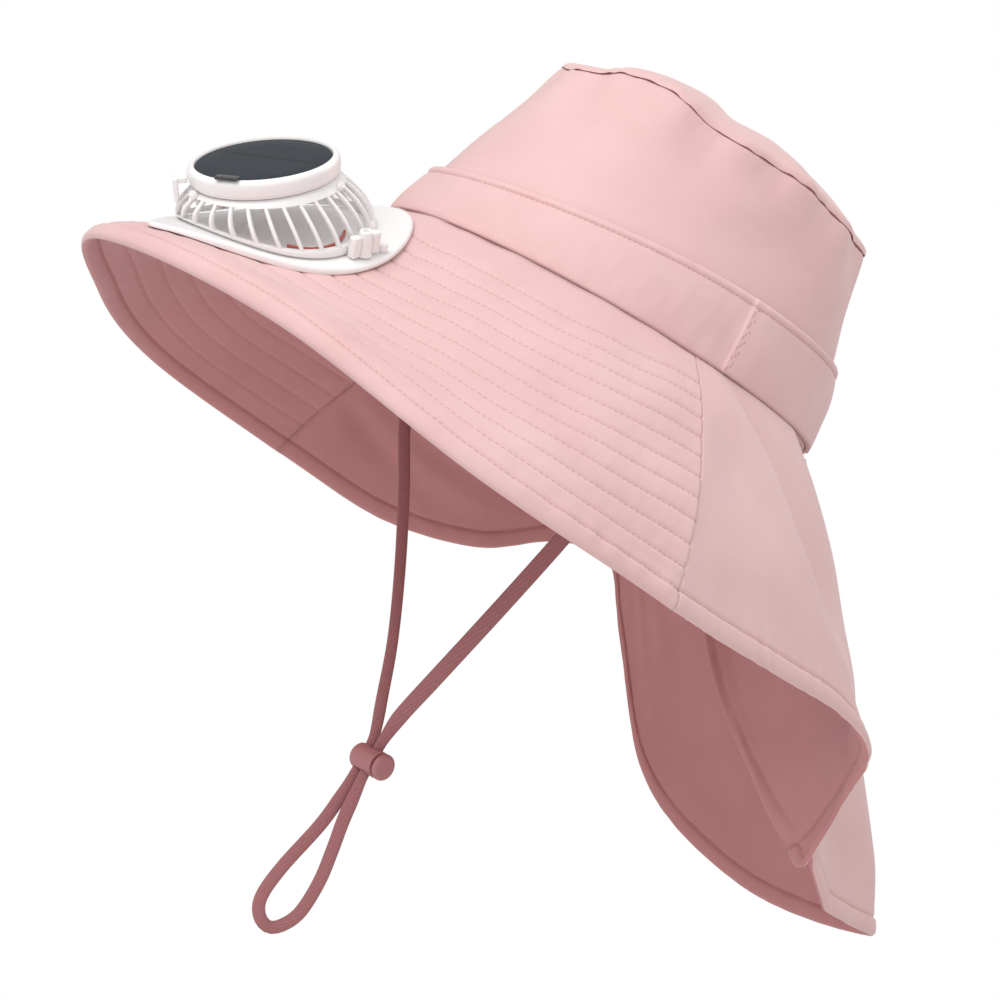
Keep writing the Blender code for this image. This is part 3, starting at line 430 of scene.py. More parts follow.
    def flap_point(self, rows: Sequence[FlapRow], station: np.ndarray, share: np.ndarray,
                   lift: float) -> np.ndarray:
        """Points of a neck flap's outer face.

        Args:
            rows: The flap's ribs.
            station: Where across the flap, in ribs from the side seam.
            share: How far down, from 0 at the head to 1 at the hem.
            lift: How far the flap's lapped part is lifted off the other flap.

        Returns:
            The points.
        """
        station, share = np.broadcast_arrays(np.asarray(station, float), np.asarray(share, float))
        row = FlapRow(station, *(read_rows(rows, column, station) for column in FlapRow._fields[1:]))
        raised = lift * smooth_step((np.abs(row.angle) - 150.0) / 22.0)
        points = self.rib_point(row, share, raised)
        first = FlapRow(*(np.full_like(share, value) for value in rows[0]))
        seam = self.brim_point(first.angle, share) - self.rib_point(first, share, np.zeros_like(share))
        return points + seam * (1 - smooth_step(station))[..., None]


def link_object(name: str, data: ID | None) -> Object:
    """Makes an object of some data and links it to the scene."""
    made = bpy.data.objects.new(name, data)
    bpy.context.scene.collection.objects.link(made)
    return made


def evaluated_mesh(source: Object) -> Mesh:
    """Copies an object's mesh with its modifiers applied, and clears them."""
    shape = source.evaluated_get(bpy.context.evaluated_depsgraph_get())
    mesh = bpy.data.meshes.new_from_object(shape)
    source.modifiers.clear()
    return mesh


def axes_frame(x_axis: Vector, y_axis: Vector, z_axis: Vector, origin: Vector) -> Matrix:
    """A frame from its three axes and its origin."""
    turn = Matrix((tuple(x_axis), tuple(y_axis), tuple(z_axis))).transposed()
    return Matrix.Translation(origin) @ turn.to_4x4()


def new_mesh_object(name: str, vertices: np.ndarray, faces: np.ndarray,
                    materials: Sequence[Material]) -> Object:
    """Makes a smooth mesh object from points in millimetres.

    Args:
        name: The piece's name.
        vertices: The points, N by 3.
        faces: Corner numbers, one row a face.
        materials: The piece's materials, in the order of its slots.

    Returns:
        The new object, linked to the scene.
    """
    mesh = bpy.data.meshes.new(name)
    mesh.from_pydata((np.asarray(vertices) * MM).tolist(), [], [list(map(int, face)) for face in faces])
    for finish in materials:
        mesh.materials.append(finish)
    mesh.shade_smooth()
    return link_object(name, mesh)


def signed_volume(vertices: np.ndarray, quads: np.ndarray) -> float:
    """Six times the volume inside a closed mesh of quads, below 0 if it is inside out."""
    a, b, c, d = (vertices[quads[:, k]] for k in range(4))
    return float(np.sum(a * np.cross(b, c)) + np.sum(a * np.cross(c, d)))


def weld(made: Object, distance: float = 1e-6) -> Object:
    """Merges doubled points, which closes poles and seams."""
    bm = bmesh.new()
    bm.from_mesh(made.data)
    bmesh.ops.remove_doubles(bm, verts=bm.verts, dist=distance)
    bm.to_mesh(made.data)
    bm.free()
    return made


@dataclass
class WallPiece:
    """A closed wall between two skins, with a UV map in metres and two finishes."""

    name: str
    outer: np.ndarray
    inner: np.ndarray
    uv: np.ndarray
    closed: bool = False

    def build(self, outside: Material, inside: Material) -> Object:
        """Makes the mesh.

        Args:
            outside: The finish of the outer skin and the edges.
            inside: The finish of the inner skin.

        Returns:
            The new object.
        """
        count_u, count_v = self.outer.shape[:2]
        size = count_u * count_v
        steps = np.arange(count_u if self.closed else count_u - 1)
        i, j = np.meshgrid(steps, np.arange(count_v - 1), indexing="ij")
        k = (i + 1) % count_u
        skin = np.stack([i * count_v + j, k * count_v + j, k * count_v + j + 1, i * count_v + j + 1], axis=-1)
        skin_uv = np.stack([self.uv[i, j], self.uv[i + 1, j], self.uv[i + 1, j + 1], self.uv[i, j + 1]],
                           axis=-2)
        skin, skin_uv = skin.reshape(-1, 4), skin_uv.reshape(-1, 4, 2)
        faces = [skin, skin[:, ::-1] + size]
        uvs = [skin_uv, skin_uv[:, ::-1]]
        rims = []
        for edge in (0, count_v - 1):
            a, b = steps * count_v + edge, (steps + 1) % count_u * count_v + edge
            rims.append((edge == 0, b, a, self.uv[steps + 1, edge], self.uv[steps, edge]))
        rows = np.arange(count_v - 1)
        for edge in () if self.closed else (0, count_u - 1):
            a = edge * count_v + rows
            rims.append((edge == 0, a, a + 1, self.uv[edge, rows], self.uv[edge, rows + 1]))
        for first, a, b, uv_a, uv_b in rims:
            turn = 1 if first else -1
            faces.append(np.stack([a, b, b + size, a + size], axis=-1)[:, ::turn])
            uvs.append(np.stack([uv_a, uv_b] * 2, axis=-2)[:, ::turn])
        quads, loops = np.concatenate(faces), np.concatenate(uvs)
        vertices = np.concatenate([self.outer.reshape(-1, 3), self.inner.reshape(-1, 3)])
        if signed_volume(vertices, quads) < 0:
            quads, loops = quads[:, ::-1], loops[:, ::-1]
        made = new_mesh_object(self.name, vertices, quads, [outside, inside])
        slots = np.zeros(len(quads), np.int32)
        slots[len(skin):2 * len(skin)] = 1
        made.data.polygons.foreach_set("material_index", slots)
        layer = made.data.uv_layers.new(name="cloth")
        layer.data.foreach_set("uv", (loops * MM).ravel().astype(np.float32))
        return made


class Wires:
    """Adds nodes to a node tree and joins their sockets."""

    def __init__(self, tree: NodeTree) -> None:
        """Keeps the tree to work on."""
        self.tree = tree

    def add(self, kind: str, settings: dict | None = None, **inputs: object) -> Node:
        """Adds a node.

        Args:
            kind: The node's type name.
            settings: Properties of the node.
            inputs: Values or sockets for its inputs, by name with spaces as underscores.

        Returns:
            The node.
        """
        node = self.tree.nodes.new(kind)
        for name, value in (settings or {}).items():
            setattr(node, name, value)
        self.fill(node, **inputs)
        return node

    def fill(self, node: Node, **inputs: object) -> None:
        """Gives inputs values or sockets, by name with spaces as underscores."""
        for name, value in inputs.items():
            self.put(node, name.replace("_", " "), value)

    def in_space(self) -> NodeSocket:
        """Gives the piece's Object coordinates."""
        return self.add("ShaderNodeTexCoord").outputs["Object"]

    def on_cloth(self) -> NodeSocket:
        """Gives the piece's own UV map, in metres."""
        return self.add("ShaderNodeUVMap", {"uv_map": "cloth"}).outputs[0]

    def bump(self, strength: float, distance: float, height: NodeSocket, **more: object) -> NodeSocket:
        """Adds a Bump node and gives back its normal."""
        sizes = {"Strength": strength, "Distance": distance}
        return self.add("ShaderNodeBump", **sizes, Height=height, **more).outputs[0]

    def put(self, node: Node, name: str | int, value: object) -> None:
        """Gives an input a value, or joins a socket to it."""
        socket = node.inputs[name]
        if isinstance(value, NodeSocket):
            self.tree.links.new(value, socket)
        else:
            socket.default_value = value

    def math(self, operation: str, *values: object) -> NodeSocket:
        """Adds a Math node and gives back its result."""
        node = self.tree.nodes.new("ShaderNodeMath")
        node.operation = operation
        for index, value in enumerate(values):
            self.put(node, index, value)
        return node.outputs[0]

    def mix_colour(self, factor: object, first: object, second: object) -> NodeSocket:
        """Mixes two colours, each a socket or three numbers, by a factor."""
        node = self.tree.nodes.new("ShaderNodeMix")
        node.data_type = "RGBA"
        for index, value in ((0, factor), (6, first), (7, second)):
            self.put(node, index, (*value, 1.0) if isinstance(value, tuple) else value)
        return node.outputs[2]

    def group(self, tree: NodeTree, **inputs: object) -> Node:
        """Places a shared group with its own values."""
        return self.add("ShaderNodeGroup", {"node_tree": tree}, **inputs)


def new_group(name: str, inputs: dict[str, float], outputs: Iterable[str]) -> NodeTree:
    """Starts a shader node group with a Vector input and number sockets.

    Args:
        name: The group's name.
        inputs: Number inputs and their usual values.
        outputs: The names of its number outputs.

    Returns:
        The group's tree, with its input and output nodes in place.
    """
    tree = bpy.data.node_groups.new(name, "ShaderNodeTree")
    tree.interface.new_socket(name="Vector", in_out="INPUT", socket_type="NodeSocketVector")
    for label, value in inputs.items():
        socket = tree.interface.new_socket(name=label, in_out="INPUT", socket_type="NodeSocketFloat")
        socket.default_value = value
    for label in outputs:
        tree.interface.new_socket(name=label, in_out="OUTPUT", socket_type="NodeSocketFloat")
    tree.nodes.new("NodeGroupInput")
    tree.nodes.new("NodeGroupOutput")
    return tree


class SharedEffects:
    """The shader node groups that several finishes use."""

    def __init__(self) -> None:
        """Builds each group once."""
        self.weave = self.build_weave()
        self.mottle = self.build_mottle()
        self.grain = self.build_grain()

    @staticmethod
    def build_weave() -> NodeTree:
        """Woven threads on a UV map in metres: a height and a thread mask."""
        tree = new_group("weave", {"Pitch": 0.0006, "Unevenness": 0.3}, ["Height", "Mask"])
        wires = Wires(tree)
        source, result = tree.nodes["Group Input"], tree.nodes["Group Output"]
        axes = wires.add("ShaderNodeSeparateXYZ", Vector=source.outputs["Vector"])
        turn = wires.math("DIVIDE", 2 * math.pi, source.outputs["Pitch"])
        warp = wires.math("SINE", wires.math("MULTIPLY", axes.outputs[0], turn))
        weft = wires.math("SINE", wires.math("MULTIPLY", axes.outputs[1], turn))
        cross = wires.math("MULTIPLY", warp, weft)
        slub = wires.add("ShaderNodeTexNoise", Vector=source.outputs["Vector"], Scale=900.0, Detail=2.0)
        uneven = wires.math("MULTIPLY", wires.math("SUBTRACT", slub.outputs["Fac"], 0.5),
                            source.outputs["Unevenness"])
        height = wires.math("ADD", wires.math("MULTIPLY_ADD", cross, 0.5, 0.5), uneven)
        wires.put(result, "Height", height)
        wires.put(result, "Mask", wires.math("ABSOLUTE", cross))
        return tree

    @staticmethod
    def build_mottle() -> NodeTree:
        """Broad soft unevenness in space: a value from 0 to 1."""
        tree = new_group("mottle", {"Scale": 30.0, "Contrast": 1.0}, ["Value"])
        wires = Wires(tree)
        source, result = tree.nodes["Group Input"], tree.nodes["Group Output"]
        noise = wires.add("ShaderNodeTexNoise", Vector=source.outputs["Vector"],
                          Scale=source.outputs["Scale"], Detail=4.0)
        value = wires.math("MULTIPLY", wires.math("SUBTRACT", noise.outputs["Fac"], 0.5),
                           source.outputs["Contrast"])
        clamped = wires.tree.nodes.new("ShaderNodeClamp")
        wires.put(clamped, "Value", wires.math("ADD", value, 0.5))
        wires.put(result, "Value", clamped.outputs[0])
        return tree

    @staticmethod
    def build_grain() -> NodeTree:
        """Fine moulded grain in space: a height and a speck mask."""
        tree = new_group("grain", {"Scale": 900.0}, ["Height", "Specks"])
        wires = Wires(tree)
        source, result = tree.nodes["Group Input"], tree.nodes["Group Output"]
        noise = wires.add("ShaderNodeTexNoise", Vector=source.outputs["Vector"],
                          Scale=source.outputs["Scale"], Detail=3.0)
        wires.put(result, "Height", noise.outputs["Fac"])
        wires.put(result, "Specks", wires.math("GREATER_THAN", noise.outputs["Fac"], 0.72))
        return tree


def new_material(name: str) -> tuple[Material, Wires, Node]:
    """Starts a material and gives its wires and its shader."""
    made = bpy.data.materials.new(name)
    made.use_nodes = True
    return made, Wires(made.node_tree), made.node_tree.nodes["Principled BSDF"]


@dataclass(frozen=True)
class ClothFinish:
    """Woven cloth: its two close colours, thread size and gloss."""

    name: str
    colour: tuple[float, float, float]
    deep: tuple[float, float, float]
    pitch: float = 0.0006
    roughness: float = 0.62
    sheen: float = 0.25
    weave_height: float = 0.00004
    rumple_height: float = 0.0006

    def build(self, effects: SharedEffects) -> Material:
        """Makes the material, read from the piece's own UV map.

        Args:
            effects: The shared groups.

        Returns:
            The material.
        """
        made, wires, shader = new_material(self.name)
        space = wires.in_space()
        weave = wires.group(effects.weave, Vector=wires.on_cloth(), Pitch=self.pitch)
        broad = wires.group(effects.mottle, Vector=space, Scale=22.0, Contrast=1.4)
        rumple = wires.group(effects.mottle, Vector=space, Scale=70.0, Contrast=1.0).outputs["Value"]
        colour = wires.mix_colour(broad.outputs["Value"], self.deep, self.colour)
        threads = wires.mix_colour(wires.math("MULTIPLY", weave.outputs["Mask"], 0.12), colour, self.deep)
        gloss = wires.math("MULTIPLY_ADD", rumple, 0.12, self.roughness - 0.06)
        soft = wires.bump(0.5, self.rumple_height, rumple)
        fine = wires.bump(0.6, self.weave_height, weave.outputs["Height"], Normal=soft)
        wires.fill(shader, Base_Color=threads, Roughness=gloss, Sheen_Weight=self.sheen,
                   Sheen_Roughness=0.4, Specular_IOR_Level=0.35, Normal=fine)
        return made


@dataclass(frozen=True)
class ThreadFinish:
    """Sewing thread, twisted and a little darker than the cloth."""

    name: str
    colour: tuple[float, float, float]
    roughness: float = 0.55

    def build(self, effects: SharedEffects) -> Material:
        """Makes the material from the shared grain."""
        made, wires, shader = new_material(self.name)
        grain = wires.group(effects.grain, Vector=wires.in_space(), Scale=2500.0).outputs["Height"]
        shade = tuple(0.8 * value for value in self.colour)
        wires.fill(shader, Base_Color=wires.mix_colour(grain, shade, self.colour), Roughness=self.roughness,
                   Normal=wires.bump(0.4, 0.00005, grain))
        return made


@dataclass(frozen=True)
class StrapFinish:
    """A flat braided cord, with a fine herringbone along it."""

    name: str
    colour: tuple[float, float, float]
    deep: tuple[float, float, float]
    pitch: float = 0.0011
    lay: float = 38.0

    def build(self, effects: SharedEffects) -> Material:
        """Makes the material, read from the cord's UV map."""
        made, wires, shader = new_material(self.name)
        turned = wires.add("ShaderNodeMapping", Vector=wires.on_cloth(),
                           Rotation=(0.0, 0.0, math.radians(self.lay)))
        weave = wires.group(effects.weave, Vector=turned.outputs[0], Pitch=self.pitch, Unevenness=0.5)
        height = weave.outputs["Height"]
        # The braid's low parts take the deeper colour, following the bump's height: painted shade in its
        # grooves
        wires.fill(shader, Base_Color=wires.mix_colour(height, self.deep, self.colour), Roughness=0.7,
                   Sheen_Weight=0.3, Normal=wires.bump(0.7, 0.00018, height))
        return made


@dataclass(frozen=True)
class PlasticFinish:
    """Moulded plastic: colour, gloss, a fine grain and a hint of handling."""

    name: str
    colour: tuple[float, float, float]
    dull: tuple[float, float, float]
    roughness: float = 0.32
    coat: float = 0.0
    grain_height: float = 0.00002

    def build(self, effects: SharedEffects) -> Material:
        """Makes the material from the shared grain and mottle."""
        made, wires, shader = new_material(self.name)
        space = wires.in_space()
        grain = wires.group(effects.grain, Vector=space, Scale=1400.0)
        broad = wires.group(effects.mottle, Vector=space, Scale=60.0, Contrast=1.5).outputs["Value"]
        if self.coat > 0:
            wires.fill(shader, Coat_Weight=self.coat, Coat_Roughness=0.08)
        wires.fill(shader, Base_Color=wires.mix_colour(broad, self.dull, self.colour),
                   Roughness=wires.math("MULTIPLY_ADD", broad, 0.1, self.roughness - 0.05),
                   Normal=wires.bump(0.3, self.grain_height, grain.outputs["Height"]))
        return made


@dataclass(frozen=True)
class CellFinish:
    """A solar cell under clear resin: its gap line and fine conductor lines."""

    name: str
    colour: tuple[float, float, float]
    line: tuple[float, float, float]
    finger: tuple[float, float, float] = (0.12, 0.13, 0.15)
    finger_pitch: float = 0.0016
    gap_offset: float = 0.00347
    gap_turn: float = 20.6
    gap_half_width: float = 0.0004

    def build(self, effects: SharedEffects) -> Material:
        """Makes the material, read from the panel's flat UV map."""
        made, wires, shader = new_material(self.name)
        place = wires.on_cloth()
        turned = wires.add("ShaderNodeMapping", {"vector_type": "TEXTURE"}, Vector=place,
                           Rotation=(0.0, 0.0, math.radians(self.gap_turn)))
        axes = wires.add("ShaderNodeSeparateXYZ", Vector=turned.outputs[0])
        away = wires.math("ABSOLUTE", wires.math("SUBTRACT", axes.outputs[1], self.gap_offset))
        gap = wires.math("LESS_THAN", away, self.gap_half_width)
        ridge = wires.math("PINGPONG", axes.outputs[0], self.finger_pitch)
        finger = wires.math("LESS_THAN", ridge, 0.00006)
        broad = wires.group(effects.mottle, Vector=place, Scale=80.0, Contrast=0.8)
        tinted = tuple(1.35 * value for value in self.colour)
        base = wires.mix_colour(broad.outputs["Value"], self.colour, tinted)
        lined = wires.mix_colour(wires.math("MULTIPLY", finger, 0.25), base, self.finger)
        wires.fill(shader, Base_Color=wires.mix_colour(gap, lined, self.line), Roughness=0.5,
                   Coat_Weight=0.06, Coat_Roughness=0.25, Specular_IOR_Level=0.16)
        return made


@dataclass(frozen=True)
class FloorFinish:
    """A plain pale studio floor."""

    name: str
    colour: tuple[float, float, float] = (0.86, 0.85, 0.85)

    def build(self, effects: SharedEffects) -> Material:
        """Makes the material with a faint mottle."""
        made, wires, shader = new_material(self.name)
        broad = wires.group(effects.mottle, Vector=wires.in_space(), Scale=3.0, Contrast=0.4)
        lower = tuple(0.97 * value for value in self.colour)
        colour = wires.mix_colour(broad.outputs["Value"], lower, self.colour)
        wires.fill(shader, Base_Color=colour, Roughness=0.8)
        return made


@dataclass
class Wardrobe:
    """Every finish of the hat, built once."""

    effects: SharedEffects = field(default_factory=SharedEffects)

    def __post_init__(self) -> None:
        """Builds the materials."""
        rose, deep_rose = (0.77, 0.525, 0.508), (0.68, 0.425, 0.41)
        self.cloth = ClothFinish("pink_cloth_satin", rose, deep_rose).build(self.effects)
        self.quilted = ClothFinish("pink_cloth_quilted", rose, deep_rose, sheen=0.2,
                                   rumple_height=0.0004).build(self.effects)
        # The cloth's inner skin is the same rose cloth, painted darker and redder: painted shade and painted
        # bounce light on its underside
        self.underside_painted_shade = ClothFinish("rose_cloth_underside_painted_shade", (0.56, 0.26, 0.255), (0.50, 0.215, 0.21),
                                  sheen=0.15).build(self.effects)
        self.thread = ThreadFinish("pink_thread", (0.58, 0.31, 0.30)).build(self.effects)
        self.strap = StrapFinish("rose_braid", (0.42, 0.165, 0.17), (0.30, 0.10, 0.105)).build(self.effects)
        self.lock = PlasticFinish("rose_plastic", (0.46, 0.19, 0.195), (0.40, 0.155, 0.16),
                                  roughness=0.45).build(self.effects)
        self.white = PlasticFinish("white_plastic", (0.88, 0.86, 0.855), (0.84, 0.815, 0.81),
                                   roughness=0.3, coat=0.15).build(self.effects)
        self.grey = PlasticFinish("grey_plastic", (0.62, 0.54, 0.53), (0.56, 0.48, 0.47),
                                  roughness=0.4).build(self.effects)
        self.blades = PlasticFinish("blade_plastic", (0.80, 0.69, 0.68), (0.74, 0.62, 0.61),
                                    roughness=0.35).build(self.effects)
        self.dark = PlasticFinish("dark_plastic", (0.03, 0.03, 0.034), (0.022, 0.022, 0.026),
                                  roughness=0.28, coat=0.3).build(self.effects)
        self.red = PlasticFinish("lead_red", (0.62, 0.13, 0.10), (0.50, 0.09, 0.07),
                                 roughness=0.5).build(self.effects)
        self.cell = CellFinish("solar_cell", (0.016, 0.021, 0.027), (0.004, 0.004, 0.005)).build(self.effects)
        self.floor = FloorFinish("studio_floor").build(self.effects)


def place(made: Object, slot: Slot, nodes: Sequence[str] = (), body: Body = Body.HAT) -> Object:
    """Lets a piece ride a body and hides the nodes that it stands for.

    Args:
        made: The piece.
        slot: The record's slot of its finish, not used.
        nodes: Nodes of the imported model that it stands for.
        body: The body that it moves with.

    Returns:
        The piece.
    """
    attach(made, body.value)
    if nodes:
        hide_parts(*nodes)
    LOG.info("%s rides on %s, %d faces", made.name, body.value, len(made.data.polygons))
    return made


def declare_sheet(made: Object, outer: np.ndarray, closed: bool, held: str,
                  flat: tuple[float, float] | None = None,
                  fullness: float = 1.0) -> None:
    """Logs a cloth piece's flat size and area, measured over its outer skin.

    Args:
        made: The cloth.
        outer: The grid of its outer skin, in millimetres.
        closed: Whether the grid runs all the way round.
        held: How the cloth is held.
        flat: Its flat width and length in millimetres, if not its longest row and column.
        fullness: How much more cloth the gathers take in than the skin's own area.
    """
    grid = np.concatenate([outer, outer[:1]]) if closed else outer
    width, length = flat or (float(arc_lengths(grid, 0).max()), float(arc_lengths(grid, 1).max()))
    first, second = grid[1:, 1:] - grid[:-1, :-1], grid[1:, :-1] - grid[:-1, 1:]
    area = float(np.linalg.norm(np.cross(first, second), axis=-1).sum()) / 2 * fullness
    width = width * fullness
    area = min(area, width * length)
    LOG.info("%s is cut from %.0f by %.0f mm, %.0f square mm, %s", made.name, width, length, area, held)


def geometry_tree(name: str, sizes: dict[str, float]) -> tuple[Wires, Node, Node]:
    """Starts a Geometry Nodes tree with a Geometry socket each way and named sizes."""
    tree = bpy.data.node_groups.new(name, "GeometryNodeTree")
    tree.interface.new_socket(name="Geometry", in_out="INPUT", socket_type="NodeSocketGeometry")
    for label, value in sizes.items():
        socket = tree.interface.new_socket(name=label, in_out="INPUT", socket_type="NodeSocketFloat")
        socket.default_value = value
    tree.interface.new_socket(name="Geometry", in_out="OUTPUT", socket_type="NodeSocketGeometry")
    return Wires(tree), tree.nodes.new("NodeGroupInput"), tree.nodes.new("NodeGroupOutput")


def bake(name: str, source: Object, tree: NodeTree,
         sizes: dict[str, float]) -> Object:
    """Runs a Geometry Nodes tree on a source and keeps the result as a plain mesh.

    Args:
        name: The new piece's name.
        source: The object that the tree works on, which is removed.
        tree: The tree.
        sizes: Values of its named inputs.

    Returns:
        The new object.
    """
    modifier = source.modifiers.new(tree.name, "NODES")
    modifier.node_group = tree
    for item in tree.interface.items_tree:
        if item.item_type == "SOCKET" and item.in_out == "INPUT" and item.name in sizes:
            modifier[item.identifier] = sizes[item.name]
    mesh = evaluated_mesh(source)
    mesh.name = name
    mesh.shade_smooth()
    bpy.data.objects.remove(source, do_unlink=True)
    return link_object(name, mesh)


def lines_object(name: str, lines: Sequence[np.ndarray]) -> Object:
    """Makes a mesh of open lines, in millimetres, for a tree to work on."""
    vertices, edges = [], []
    for line in lines:
        start = len(vertices)
        vertices += (np.asarray(line) * MM).tolist()
        edges += [(start + k, start + k + 1) for k in range(len(line) - 1)]
    mesh = bpy.data.meshes.new(name)
    mesh.from_pydata(vertices, edges, [])
    return link_object(name, mesh)


@dataclass
class Needle:
    """Sews runs of small stitches along lines on the cloth."""

    pitch: float = 2.7
    length: float = 2.0
    thickness: float = 0.42

    def tree(self, thread: Material) -> NodeTree:
        """Builds the tree that lays one stitch at each step of a line.

        Args:
            thread: The stitches' material.

        Returns:
            The tree.
        """
        sizes = {"Pitch": self.pitch * MM, "Length": self.length * MM, "Thickness": self.thickness * MM}
        wires, source, result = geometry_tree("stitch_run", sizes)
        curve = wires.add("GeometryNodeMeshToCurve", Mesh=source.outputs["Geometry"])
        dots = wires.add("GeometryNodeCurveToPoints", {"mode": "LENGTH"}, Curve=curve.outputs[0],
                         Length=source.outputs["Pitch"])
        stitch = wires.add("GeometryNodeMeshUVSphere", Segments=6, Rings=4, Radius=0.5)
        turn = wires.add("FunctionNodeAlignRotationToVector", {"axis": "Z"}, Vector=dots.outputs["Tangent"])
        size = wires.add("ShaderNodeCombineXYZ", X=source.outputs["Thickness"], Y=source.outputs["Thickness"],
                         Z=source.outputs["Length"])
        run = wires.add("GeometryNodeInstanceOnPoints", Points=dots.outputs["Points"],
                        Instance=stitch.outputs["Mesh"], Rotation=turn.outputs[0], Scale=size.outputs[0])
        real = wires.add("GeometryNodeRealizeInstances", Geometry=run.outputs[0])
        dressed = wires.add("GeometryNodeSetMaterial", Geometry=real.outputs[0], Material=thread)
        wires.put(result, 0, dressed.outputs[0])
        return wires.tree

    def sew(self, name: str, lines: Sequence[np.ndarray], thread: Material,
            pitch: float | None = None, length: float | None = None) -> Object:
        """Sews along lines and gives the stitches as one piece.

        Args:
            name: The piece's name.
            lines: The lines, in millimetres.
            thread: The stitches' material.
            pitch: The step from stitch to stitch, if not the needle's own.
            length: A stitch's length, if not the needle's own.

        Returns:
            The stitches.
        """
        sizes = {"Pitch": (pitch or self.pitch) * MM, "Length": (length or self.length) * MM,
                 "Thickness": self.thickness * MM}
        return bake(name, lines_object(name, lines), self.tree(thread), sizes)


@dataclass
class Hem:
    """A turned and stitched hem: its width, fold and puff."""

    width: float = 8.3
    body: float = 1.0
    puff: float = 0.85
    edge_radius: float = 1.7
    groove: float = 0.55
    groove_width: float = 0.8

    def rows(self) -> list[float]:
        """Distances from the edge at which the hem needs a row of points."""
        rounding = [self.edge_radius * (1 - math.cos(math.radians(t))) for t in (3, 22, 45, 68, 90)]
        return rounding + [2.9, 4.3, 5.7, 6.9, 7.6, 8.0, self.width, 8.6, 9.0, 9.6, 10.5, 12.0, 14.0]

    def half_thickness(self, distance: np.ndarray) -> np.ndarray:
        """Half the cloth's thickness at distances from the edge."""
        share = np.clip(distance / self.width, 0.0, 1.0)
        half = self.body + self.puff * (1 - np.abs(2 * share - 1) ** 3)
        half = half - self.groove * np.exp(-((distance - self.width) / self.groove_width) ** 2)
        edge = np.clip(distance / self.edge_radius, 0.0, 1.0)
        return half * np.sqrt(np.maximum(1 - (1 - edge) ** 2, 0.0004))


